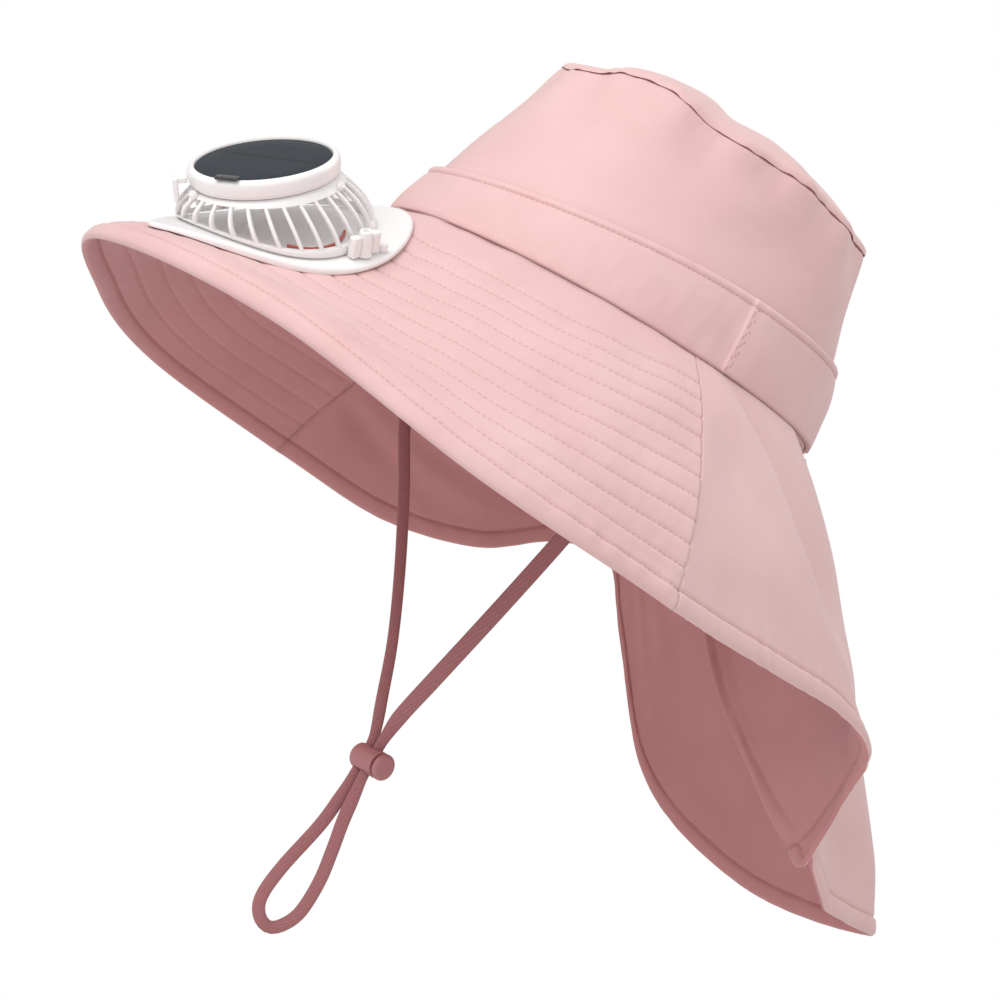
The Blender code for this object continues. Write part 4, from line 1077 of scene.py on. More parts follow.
@dataclass
class Crown:
    """The crown: its side, its tip and the band round its foot."""

    shape: HatShape
    wardrobe: Wardrobe
    needle: Needle
    columns: int = 300
    edge_radius: float = 1.6
    edge_roll: float = 1.2
    tip_radius: float = 68.0
    tip_edge_radius: float = 2.2
    seam_radius: float = 70.0
    band_radius: float = 88.0
    band_edge_radius: float = 1.1
    band_cloth: float = 2.0
    band_clearance: float = 0.4
    band_lower_edge: float = -2.0
    band_swell: float = 0.6
    lap_angle: float = 95.0
    lap_width: float = 5.0
    lap_step: float = 0.9
    fold_width: float = 3.4
    gathering: float = 1.15
    zigzag_points: int = 12
    zigzag_angles: tuple[float, float] = (0.9, 2.4)

    @property
    def angles(self) -> np.ndarray:
        """Angles of the columns round the crown."""
        return np.arange(self.columns) * 360.0 / self.columns - 180.0

    def girth_uv(self, points: np.ndarray) -> np.ndarray:
        """A UV map in millimetres: round the crown and up it, one column more than the points."""
        closed = np.concatenate([points, points[:1]])
        middle = closed[:, closed.shape[1] // 2, :]
        around = arc_lengths(middle[:, None, :], 0)
        up = arc_lengths(closed, 1)
        return np.stack([np.broadcast_to(around, up.shape), up], axis=-1)

    def wrinkles(self, points: np.ndarray) -> np.ndarray:
        """Fine unevenness of the crown's cloth, stronger under the tip seam."""
        uv = self.girth_uv(points)[:-1]
        share = np.linspace(0, 1, points.shape[1])[None, :]
        pinch = smooth_step((share - 0.72) / 0.28)
        soft = Ripples(11, 28.0, 70.0).at(uv[..., 0], uv[..., 1] * 0.7) * 0.55
        fine = Ripples(12, 5.0, 12.0).at(uv[..., 0], uv[..., 1] * 0.25) * 0.32 * pinch
        return soft * smooth_step(share / 0.4) + fine

    def build_side(self) -> Object:
        """Builds the gathered crown side, open below and rounded into the tip seam."""
        angle = self.angles[:, None]
        top = self.shape.tip_height(angle)
        low = self.shape.crown_lower_edge
        ease = np.array([0.0, 0.3, 0.9, 1.8, 3.2, 5.0])
        share = np.linspace(0.0, 1.0, 40)[None, :]
        height = np.concatenate([low + (top - 7.0 - low) * share, top - ease[::-1]], axis=1)
        face = self.shape.crown_point(angle, height, 0.0)
        outwards = self.shape.outward(np.broadcast_to(angle, height.shape))
        face = face + outwards * (self.wrinkles(face))[..., None]
        tuck = self.edge_roll * round_over(top - height, self.edge_radius)
        outer = face - outwards * tuck[..., None]
        inner = face - outwards * self.shape.cloth
        made = WallPiece("crown_side_cloth", outer, inner, self.girth_uv(face), True).build(
            self.wardrobe.cloth, self.wardrobe.underside_painted_shade)
        place(made, Slot.CLOTH, ["crown_side"])
        declare_sheet(made, outer, True, "gathered", fullness=self.gathering)
        return made

    def build_tip(self) -> Object:
        """Builds the domed tip, rolled under at its seam."""
        angle = self.angles[:, None]
        seam = self.shape.tip_height(angle)
        rim = self.shape.crown_point(angle, seam, 0.0)
        middle_height = float(self.shape.tip_height(0.0) + self.shape.tip_height(180.0)) / 2
        middle = np.array([0.0, self.shape.tip_shift, middle_height])
        share = np.concatenate([np.linspace(0.0, 0.95, 24), [0.965, 0.978, 0.988, 0.995, 0.999, 1.0]])
        flat = middle + (rim - middle) * share[None, :, None]
        rise = self.shape.tip_rise * (1 - share ** 2.4)
        seat = self.shape.clearance + self.shape.cloth
        away = np.linalg.norm(flat - middle, axis=-1)
        ripple = Ripples(21, 20.0, 60.0).at(flat[..., 0], flat[..., 1]) * 0.6
        pinch = Ripples(22, 6.0, 12.0).at(np.radians(angle) * self.seam_radius + 0 * away, away * 0.2)
        ripple = ripple * (1 - share ** 8) + pinch * 0.35 * smooth_step((share - 0.8) / 0.2)
        top, under = flat.copy(), flat.copy()
        roll = round_over((1 - share) * self.tip_radius, self.tip_edge_radius)
        top[..., 2] += rise + seat + ripple - roll * (seat - 0.25)
        under[..., 2] += rise + seat - self.shape.cloth + ripple - 0.15
        uv = np.concatenate([flat[..., :2], flat[:1, :, :2]])
        made = WallPiece("crown_tip_cloth", top, under, uv, True).build(
            self.wardrobe.cloth, self.wardrobe.underside_painted_shade)
        made = place(weld(made), Slot.CLOTH, ["crown_tip"])
        across, along = float(np.ptp(flat[..., 0])), float(np.ptp(flat[..., 1]))
        declare_sheet(made, top, True, "stretched", flat=(across, along))
        return made

    def band_face(self, angle: np.ndarray, height: np.ndarray) -> np.ndarray:
        """Points of the band's outer face, with its fold, lap and swell."""
        top = self.shape.band_top(angle)
        low = self.band_lower_edge
        share = (height - low) / (top - low)
        turn = (angle - self.lap_angle) % 360.0
        lap = self.lap_step * smooth_step(turn / 0.8) * (1 - smooth_step((turn - self.lap_width) / 8.0))
        below = top - height
        fold = 0.55 * (1 - np.abs(2 * np.clip(below / self.fold_width, 0, 1) - 1) ** 3)
        groove = 0.45 * np.exp(-((below - self.fold_width) / 0.7) ** 2)
        roll = self.edge_roll * round_over(below, self.band_edge_radius)
        around = np.radians(angle) * self.band_radius + 0 * height
        soft = Ripples(31, 24.0, 60.0).at(around, height) * 0.75 * np.sin(np.pi * np.clip(share, 0, 1))
        fine = Ripples(32, 5.0, 11.0).at(around, height * 0.3) * 0.16
        swell = self.band_swell * np.sin(np.pi * np.clip(share, 0, 1))
        return self.shape.crown_point(angle, height, self.band_clearance + self.band_cloth + lap + fold
                                      - groove - roll + soft + fine + swell)

    def build_band(self) -> Object:
        """Builds the band with its folded upper edge and its lap, round its stitches."""
        extra = self.lap_angle + np.array([0.15, 0.3, 0.45, 0.6, 0.8])
        angle = np.sort(np.concatenate([self.angles, extra]))[:, None]
        top = self.shape.band_top(angle)
        below = np.array([8.0, 6.0, 5.0, 4.3, 3.8, 3.4, 3.0, 2.5, 1.8, 1.1, 0.6, 0.25, 0.0])
        share = np.linspace(0.0, 1.0, 18)[None, :]
        low = self.band_lower_edge
        height = np.concatenate([low + (top - 9.5 - low) * share, top - below], axis=1)
        outer = self.band_face(angle, height)
        inner = self.shape.crown_point(angle, height, self.band_clearance)
        made = WallPiece("crown_band_cloth", outer, inner, self.girth_uv(outer), True).build(
            self.wardrobe.cloth, self.wardrobe.underside_painted_shade)
        place(made, Slot.CLOTH, ["crown_band"])
        declare_sheet(made, outer, True, "stretched")
        return made

    def sew_band(self) -> Object:
        """Sews the band's upper fold and the zigzag of its lap."""
        angle = np.linspace(-180.0, 180.0, 361)
        upper = self.band_face(angle, self.shape.band_top(angle) - self.fold_width)
        count = self.zigzag_points
        lap = np.linspace(self.band_lower_edge + 2.0, float(self.shape.band_top(self.lap_angle)) - 4.0, count)
        side = np.where(np.arange(count) % 2 == 0, *self.zigzag_angles)
        zigzag = self.band_face(self.lap_angle + side, lap)
        made = self.needle.sew("band_stitches", [upper, zigzag], self.wardrobe.thread, 2.3, 1.7)
        return place(made, Slot.CLOTH)

    def build(self) -> list[Object]:
        """Builds the crown's pieces.

        Returns:
            The side, the tip, the band and the stitches.
        """
        stitches = self.sew_band()
        return [self.build_side(), self.build_tip(), self.build_band(), stitches]


@dataclass
class Brim:
    """The quilted front brim with its turned hem."""

    shape: HatShape
    wardrobe: Wardrobe
    needle: Needle
    hem: Hem
    columns: int = 300
    seam_gap_angle: float = 0.02
    first_row: float = 18.0
    row_spacing: float = 10.4
    row_count: int = 10
    quilt_depth: float = 0.42
    quilt_puff: float = 0.28
    pucker_angle: float = 78.0
    pucker_spread: float = 16.0

    def distances(self) -> list[float]:
        """Distances from the hem edge at which the brim needs a row of points."""
        rows = self.hem.rows()
        for k in range(self.row_count):
            centre = self.first_row + k * self.row_spacing
            rows += [centre + step for step in (-2.4, -1.1, -0.45, 0.0, 0.45, 1.1, 2.4, 5.2)]
        return rows

    def surface(self, angle: np.ndarray, distances: Sequence[float],
                rest: int) -> tuple[np.ndarray, np.ndarray]:
        """Points of the brim's outer face, row by row from the hem.

        Args:
            angle: The columns' angles.
            distances: Rows at these distances from the hem edge.
            rest: How many even rows follow, up to the head opening.

        Returns:
            The points and their distances from the hem edge.
        """
        fine = np.linspace(1.0, 0.0, 260)
        dense = self.shape.brim_point(angle[:, None], fine[None, :])
        lengths = arc_lengths(dense, 1)
        wanted = np.empty((len(angle), len(distances) + rest))
        wanted[:, :len(distances)] = distances
        last = distances[-1]
        steps = np.arange(1, rest + 1) / max(rest, 1)
        if rest:
            wanted[:, len(distances):] = last + (lengths[:, -1:] - last) * steps[None, :]
        share = np.stack([np.interp(w, length, fine) for w, length in zip(wanted, lengths)])
        return self.shape.brim_point(angle[:, None], share), wanted

    def dressed(self, angle: np.ndarray, distances: Sequence[float], rest: int) -> tuple[np.ndarray, ...]:
        """The brim's two skins, their distances from the hem and their length along it."""
        face, distance = self.surface(angle, distances, rest)
        normals = grid_normals(face)
        normals = normals * np.sign(normals[..., 2:3].mean())
        edge = self.shape.brim_point(angle, 1.0)
        along = np.broadcast_to(arc_lengths(edge[:, None, :], 0), distance.shape)
        phase = (distance - self.first_row) / self.row_spacing
        inside = (phase > -0.3) & (phase < self.row_count - 0.5)
        near = np.abs(phase - np.round(phase)) * self.row_spacing
        quilt = np.where(inside, self.quilt_puff * np.sin(np.pi * near / self.row_spacing) ** 0.7
                         - self.quilt_depth * np.exp(-(near / 0.75) ** 2), 0.0)
        pucker = np.exp(-np.maximum(distance - self.hem.width, 0) / 7.0) * smooth_step((distance - 1) / 4)
        near_side = 0.5 + 0.9 * np.exp(-((angle[:, None] - self.pucker_angle) / self.pucker_spread) ** 2)
        fine = Ripples(41, 6.0, 13.0).at(along, distance * 0.35) * 0.30 * pucker * near_side
        ruck = Ripples(42, 5.0, 10.0).at(along, distance * 0.6) * 0.13 * inside
        soft = Ripples(43, 40.0, 95.0).at(along, distance) * 0.7 * smooth_step((distance - 6) / 20)
        half = self.hem.half_thickness(distance)
        middle = face - normals * (self.shape.cloth / 2) + normals * (fine + ruck + soft)[..., None]
        outer = middle + normals * (half + quilt)[..., None]
        inner = middle - normals * (half + quilt * 0.6)[..., None]
        return outer, inner, distance, along

    @property
    def angles(self) -> np.ndarray:
        """Angles of the columns from seam to seam."""
        start, end = BRIM_ROWS[0].angle + self.seam_gap_angle, BRIM_ROWS[-1].angle - self.seam_gap_angle
        return np.linspace(start, end, self.columns)

    def build_cloth(self, stitches: Object) -> Object:
        """Builds the quilted cloth round its stitches."""
        outer, inner, distance, along = self.dressed(self.angles, self.distances(), 7)
        made = WallPiece("front_brim_cloth", outer, inner, np.stack([along, distance], axis=-1)).build(
            self.wardrobe.quilted, self.wardrobe.underside_painted_shade)
        place(made, Slot.QUILTED, ["front_brim"])
        declare_sheet(made, outer, False, "stretched")
        return made

    def sew(self) -> Object:
        """Sews the hem and the quilting rows, on the upper face."""
        seams = [(self.hem.width, (-2.0, -1.0, 0.0, 1.0))]
        seams += [(self.first_row + k * self.row_spacing, (-1.0, -0.5, 0.0, 0.5))
                  for k in range(self.row_count)]
        lines = [self.dressed(self.angles, [centre + step for step in steps], 0)[0][:, 2]
                 for centre, steps in seams]
        made = self.needle.sew("brim_stitches", lines, self.wardrobe.thread)
        return place(made, Slot.QUILTED)

    def build(self) -> list[Object]:
        """Builds the brim's cloth and its stitches."""
        stitches = self.sew()
        return [self.build_cloth(stitches), stitches]


@dataclass
class NeckFlap:
    """One half of the neck flap, hemmed below and up its back edge."""

    name: str
    rows: Sequence[FlapRow]
    lift: float
    seed: int
    shape: HatShape
    wardrobe: Wardrobe
    needle: Needle
    hem: Hem
    columns: int = 190
    down_rows: int = 40
    seam_gap: float = 0.003

    def stations(self) -> np.ndarray:
        """Even stations from the side seam to near the back edge."""
        return np.linspace(self.seam_gap, self.rows[-1].station, self.columns)

    def surface(self, down: Sequence[float], rest: int, side: Sequence[float]) -> tuple[np.ndarray, ...]:
        """Points of the flap's outer face.

        Args:
            down: Rows at these distances from the lower hem's edge.
            rest: How many even rows follow, up to the head opening.
            side: Columns at these distances from the back edge.

        Returns:
            The points, their distances from the lower edge and from the back edge.
        """
        last = self.rows[-1].station
        edge_step = 0.5
        base = self.stations()
        fine = np.linspace(1.0, 0.0, 240)
        spots = np.array([self.shape.flap_point(self.rows, last, s, self.lift) for s in (1.0, 0.6, 0.2)])
        inner = np.array([self.shape.flap_point(self.rows, last - edge_step, s, self.lift)
                          for s in (1.0, 0.6, 0.2)])
        spacing = np.interp(fine[::-1], [0.2, 0.6, 1.0],
                            (np.linalg.norm(spots - inner, axis=-1) / edge_step)[::-1])[::-1]
        reach = side[-1] / spacing.min()
        keep = base[base < last - reach - 0.1]
        columns = len(keep) + len(side)
        share = np.empty((columns, len(down) + rest))
        station = np.empty_like(share)
        anchor = np.concatenate([keep, last - np.array(side[::-1]) / spacing[0]])
        dense = self.shape.flap_point(self.rows, anchor[:, None], fine[None, :], self.lift)
        lengths = arc_lengths(dense, 1)
        steps = (np.arange(1, rest + 1) / max(rest, 1)) if rest else np.empty(0)
        wanted = np.empty_like(share)
        wanted[:, :len(down)] = down
        if rest:
            wanted[:, len(down):] = down[-1] + (lengths[:, -1:] - down[-1]) * steps[None, :]
        for c in range(columns):
            share[c] = np.interp(wanted[c], lengths[c], fine)
        station[:len(keep)] = keep[:, None]
        local = np.interp(share[len(keep):], fine[::-1], spacing[::-1])
        station[len(keep):] = last - np.array(side[::-1])[:, None] / local
        points = self.shape.flap_point(self.rows, station, share, self.lift)
        from_side = arc_lengths(points[::-1], 0)[::-1]
        return points, wanted, from_side

    def dressed(self, down: Sequence[float], rest: int, side: Sequence[float]) -> tuple[np.ndarray, ...]:
        """The flap's two skins and its distances from the lower and the back edge."""
        face, below, back = self.surface(down, rest, side)
        normals = grid_normals(face)
        normals = normals * self.side_sign
        half_low = self.hem.half_thickness(below)
        half_back = self.hem.half_thickness(back)
        half_back = np.where(below > below.max() * 0.93, np.minimum(half_back, self.hem.body), half_back)
        rolled = np.maximum(half_low, half_back)
        rounded = np.minimum(np.minimum(half_low, half_back) / self.hem.body, 1.0)
        half = np.where(np.minimum(below, back) < self.hem.edge_radius, rolled * rounded, rolled)
        grooved = np.minimum(half_low, half_back)
        half = np.where((grooved < self.hem.body) & (np.minimum(below, back) > self.hem.edge_radius),
                        grooved, half)
        pucker = np.exp(-np.maximum(np.minimum(below, back) - self.hem.width, 0) / 8.0)
        soft = Ripples(self.seed, 45.0, 110.0).at(back, below) * 1.5 * smooth_step((below - 4) / 30)
        fine = Ripples(self.seed + 1, 6.0, 14.0).at(back, below * 0.35) * 0.26 * pucker
        still = smooth_step((below[:, -1:] - below) / 25.0)
        away = smooth_step(arc_lengths(face, 0) / 14.0)
        middle = face - normals * (self.shape.cloth / 2) + normals * ((soft * still + fine) * away)[..., None]
        outer = middle + normals * half[..., None]
        inner = middle - normals * half[..., None]
        return outer, inner, below, back

    @property
    def side_sign(self) -> float:
        """1 if the grid's normals already point out of the flap, and -1 if not."""
        station = np.array([1.0, 1.2])[:, None]
        share = np.array([0.6, 0.55])[None, :]
        points = self.shape.flap_point(self.rows, station, share, self.lift)
        normal = np.cross(points[1, 0] - points[0, 0], points[0, 1] - points[0, 0])
        return float(np.sign(normal[2]))

    def build_cloth(self, stitches: Object) -> Object:
        """Builds the flap's cloth round its stitches."""
        outer, inner, below, back = self.dressed(self.hem.rows(), self.down_rows, self.hem.rows())
        made = WallPiece(f"{self.name}_cloth", outer, inner, np.stack([back, below], axis=-1)).build(
            self.wardrobe.cloth, self.wardrobe.underside_painted_shade)
        place(made, Slot.CLOTH, [self.name])
        declare_sheet(made, outer, False, "hung")
        return made

    def sew(self) -> Object:
        """Sews the lower hem and the back edge's hem."""
        outer = self.dressed(self.hem.rows(), self.down_rows, self.hem.rows())[0]
        row = self.hem.rows().index(self.hem.width)
        lower = outer[:, row]
        upward = outer[-1 - row, row:int(outer.shape[1] * 0.9)]
        made = self.needle.sew(f"{self.name}_stitches", [lower, upward], self.wardrobe.thread)
        return place(made, Slot.CLOTH)

    def build(self) -> list[Object]:
        """Builds the flap's cloth and its stitches."""
        stitches = self.sew()
        return [self.build_cloth(stitches), stitches]


@dataclass
class ChinStrap:
    """The flat cord under the chin, with its lock and the lock's button."""

    wardrobe: Wardrobe
    diameter: float = 5.6
    thickness: float = 2.2
    pinched: float = 4.2
    spacing: float = 2.0
    sides: int = 20
    view_side: tuple[float, float, float] = (0.889, -0.45, -0.085)
    lock_centre: tuple[float, float, float] = (0.0, 2.21, -196.3)
    lock_turn: float = 18.0
    lock_diameter: float = 11.0
    slot_room: float = 5.2
    slot_length: float = 10.1
    lock_wall: float = 1.2
    neck_diameter: float = 7.0
    head_length: float = 2.2
    recess: float = 1.5
    travel: float = 1.0
    clearance: float = 0.3
    foot_edge: float = 2.4
    mouth_edge: float = 0.5
    head_edge: float = 1.3
    sharp_angle: float = 35.0

    def widths(self, path: np.ndarray) -> np.ndarray:
        """The tape's width along its path: broad by the left ear, pinched in the lock."""
        share = np.linspace(0.0, 1.0, len(path))
        free = np.interp(share, [0.0, 0.30, 0.42, 0.60, 0.72, 1.0], [6.5, 6.5, 5.3, 5.3, 4.5, 5.6])
        away = np.linalg.norm(path - np.array(self.lock_centre), axis=1)
        return self.pinched + (free - self.pinched) * smooth_step((away - 7.0) / 15.0)

    def build_cord(self) -> tuple[Object, np.ndarray]:
        """Builds the cord as a flattened tube.

        Returns:
            The cord and the points that it follows, in millimetres.
        """
        path = smooth_route(STRAP_ROUTE, self.spacing)
        tangents = unit(np.gradient(path, axis=0))
        facing = np.array(self.view_side)
        flat = unit(facing - (tangents @ facing)[:, None] * tangents)
        broad = np.cross(tangents, flat)
        turns = np.arange(self.sides) * 2 * np.pi / self.sides
        round_x = np.sign(np.cos(turns)) * np.abs(np.cos(turns)) ** 0.8
        round_y = np.sign(np.sin(turns)) * np.abs(np.sin(turns)) ** 0.8
        half = self.widths(path)[:, None, None] / 2
        rings = (path[:, None, :] + broad[:, None, :] * round_x[None, :, None] * half
                 + flat[:, None, :] * (round_y * self.thickness / 2)[None, :, None])
        count = len(path)
        vertices = np.concatenate([rings.reshape(-1, 3), path[:1], path[-1:]])
        i, j = np.meshgrid(np.arange(count - 1), np.arange(self.sides), indexing="ij")
        k = (j + 1) % self.sides
        quads = np.stack([i * self.sides + j, i * self.sides + k, (i + 1) * self.sides + k,
                          (i + 1) * self.sides + j], axis=-1).reshape(-1, 4)
        lengths = arc_lengths(path[:, None, :], 0)[:, 0]
        around = np.arange(self.sides + 1) * math.pi * (self.diameter + self.thickness) / 2 / self.sides
        corners = ((0, 0), (1, 0), (1, 1), (0, 1))
        uv = np.stack([np.stack([around[j + a], lengths[i + b]], -1) for a, b in corners], axis=-2)
        uv = uv.reshape(-1, 4, 2)
        turn = -1 if signed_volume(vertices, quads) < 0 else 1
        quads, uv = quads[:, ::turn], uv[:, ::turn]
        faces = [tuple(q) for q in quads]
        first, end = count * self.sides, (count - 1) * self.sides
        for j in range(self.sides):
            k = (j + 1) % self.sides
            faces += [(first, k, j)[::turn], (first + 1, end + j, end + k)[::turn]]
        made = new_mesh_object("chin_strap_cord", vertices, faces, [self.wardrobe.strap])
        layer = made.data.uv_layers.new(name="cloth")
        flat_uv = np.zeros((len(made.data.loops), 2), np.float32)
        flat_uv[:len(quads) * 4] = (uv * MM).reshape(-1, 2)
        layer.data.foreach_set("uv", flat_uv.ravel())
        return made, path

    def frame(self) -> Matrix:
        """Frame of the lock: origin between the strands, Z along the barrel to the button."""
        turn = Matrix.Rotation(math.radians(self.lock_turn), 4, "Z")
        return Matrix.Translation(self.lock_centre) @ turn @ Matrix.Rotation(math.pi / 2, 4, "Y")

    @property
    def mouth(self) -> float:
        """Distance from the strands to the barrel's mouth."""
        return self.slot_length / 2 + self.lock_wall + self.recess

    def build_lock(self) -> Object:
        """Builds the barrel, slotted for both strands and bored for the button's neck."""
        radius, mouth = self.lock_diameter / 2, self.mouth
        foot = -self.slot_length / 2 - self.lock_wall
        bore = self.neck_diameter / 2 + self.clearance
        round_foot, round_mouth = self.foot_edge, self.mouth_edge
        profile = [(0.0, foot), (radius - round_foot, foot),
                   *arc(radius - round_foot, foot + round_foot, round_foot, -90, 0, 8), (radius, mouth - 1.0),
                   *arc(radius - round_mouth, mouth - round_mouth, round_mouth, 0, 90, 4), (bore, mouth),
                   (bore, mouth - self.recess), (0.0, mouth - self.recess)]
        barrel = lathe("lock_barrel", profile, 64, self.frame(), self.wardrobe.lock)
        size = (2 * self.lock_diameter, self.slot_room, self.slot_length)
        slot = rounded_box("lock_slot", size, 1.2, self.frame(), self.wardrobe.lock)
        modifier = barrel.modifiers.new("slot", "BOOLEAN")
        modifier.operation = "DIFFERENCE"
        modifier.solver = "EXACT"
        modifier.object = slot
        mesh = evaluated_mesh(barrel)
        barrel.data = mesh
        bpy.data.objects.remove(slot, do_unlink=True)
        mesh.shade_smooth()
        mesh.set_sharp_from_angle(angle=math.radians(self.sharp_angle))
        return place(barrel, Slot.STRAP_PLASTIC, ["strap_slider"])

    def build_button(self) -> Object:
        """Builds the button's domed head."""
        radius, neck = self.lock_diameter / 2, self.neck_diameter / 2
        shoulder = self.mouth + self.clearance + self.travel
        cap = shoulder + self.head_length
        foot = shoulder - self.recess
        edge = self.head_edge
        profile = [(0.0, foot), (neck, foot), (neck, shoulder), (radius - 0.4, shoulder),
                   (radius, shoulder + 0.4), *arc(radius - edge, cap - edge, edge, 0, 90, 8),
                   (radius - 2.2, cap + 0.08), (0.0, cap + 0.15)]
        made = lathe("lock_button_head", profile, 48, self.frame(), self.wardrobe.lock)
        return place(made, Slot.STRAP_PLASTIC, ["slider_button"], Body.LOCK_BUTTON)

    def build(self) -> list[Object]:
        cord, path = self.build_cord()
        place(cord, Slot.STRAP, ["chin_strap"])
        lock, button = self.build_lock(), self.build_button()
        length = float(arc_lengths(path[:, None, :], 0)[-1, 0]) * MM
        return [cord, lock, button]


def arc(r: float, z: float, radius: float, start: float, end: float, count: int) -> list[tuple[float, float]]:
    """Points of a round corner in a lathe profile, about a centre, by angles in degrees."""
    turns = np.radians(np.linspace(start, end, count + 1))
    return [(r + radius * math.cos(t), z + radius * math.sin(t)) for t in turns]


def lathe(name: str, profile: Sequence[tuple[float, float]], segments: int, frame: Matrix,
          finish: Material) -> Object:
    """Turns a closed profile of (radius, height) about a frame's Z.

    Args:
        name: The piece's name.
        profile: The profile's corners, in order.
        segments: Steps round the axis.
        frame: The frame to turn it in, in millimetres.
        finish: Its material.

    Returns:
        The new object.
    """
    outline = np.array(profile)
    turns = np.arange(segments) * 2 * np.pi / segments
    local = np.stack([np.outer(np.cos(turns), outline[:, 0]), np.outer(np.sin(turns), outline[:, 0]),
                      np.broadcast_to(outline[:, 1], (segments, len(outline)))], axis=-1)
    matrix = np.array(frame)
    vertices = local.reshape(-1, 3) @ matrix[:3, :3].T + matrix[:3, 3]
    i, j = np.meshgrid(np.arange(segments), np.arange(len(outline)), indexing="ij")
    k, n = (i + 1) % segments, (j + 1) % len(outline)
    keep = (outline[j, 0] > 1e-9) | (outline[n, 0] > 1e-9)
    size = len(outline)
    quads = np.stack([i * size + j, k * size + j, k * size + n, i * size + n], axis=-1)[keep]
    if signed_volume(vertices, quads) < 0:
        quads = quads[:, ::-1]
    made = weld(new_mesh_object(name, vertices, quads, [finish]))
    made.data.set_sharp_from_angle(angle=math.radians(SHARP_ANGLE))
    return made


def rounded_box(name: str, size: tuple[float, float, float], edge: float, frame: Matrix,
                finish: Material, segments: int = 4) -> Object:
    """Makes a box with round edges, centred on a frame in millimetres."""
    bm = bmesh.new()
    bmesh.ops.create_cube(bm, size=1.0)
    bmesh.ops.scale(bm, vec=size, verts=bm.verts)
    bmesh.ops.bevel(bm, geom=bm.edges[:], offset=edge, segments=segments, affect="EDGES", profile=0.5)
    bmesh.ops.transform(bm, matrix=frame, verts=bm.verts)
    bmesh.ops.scale(bm, vec=(MM, MM, MM), verts=bm.verts)
    mesh = bpy.data.meshes.new(name)
    bm.to_mesh(mesh)
    bm.free()
    mesh.materials.append(finish)
    mesh.shade_smooth()
    mesh.set_sharp_from_angle(angle=math.radians(SHARP_ANGLE))
    return link_object(name, mesh)


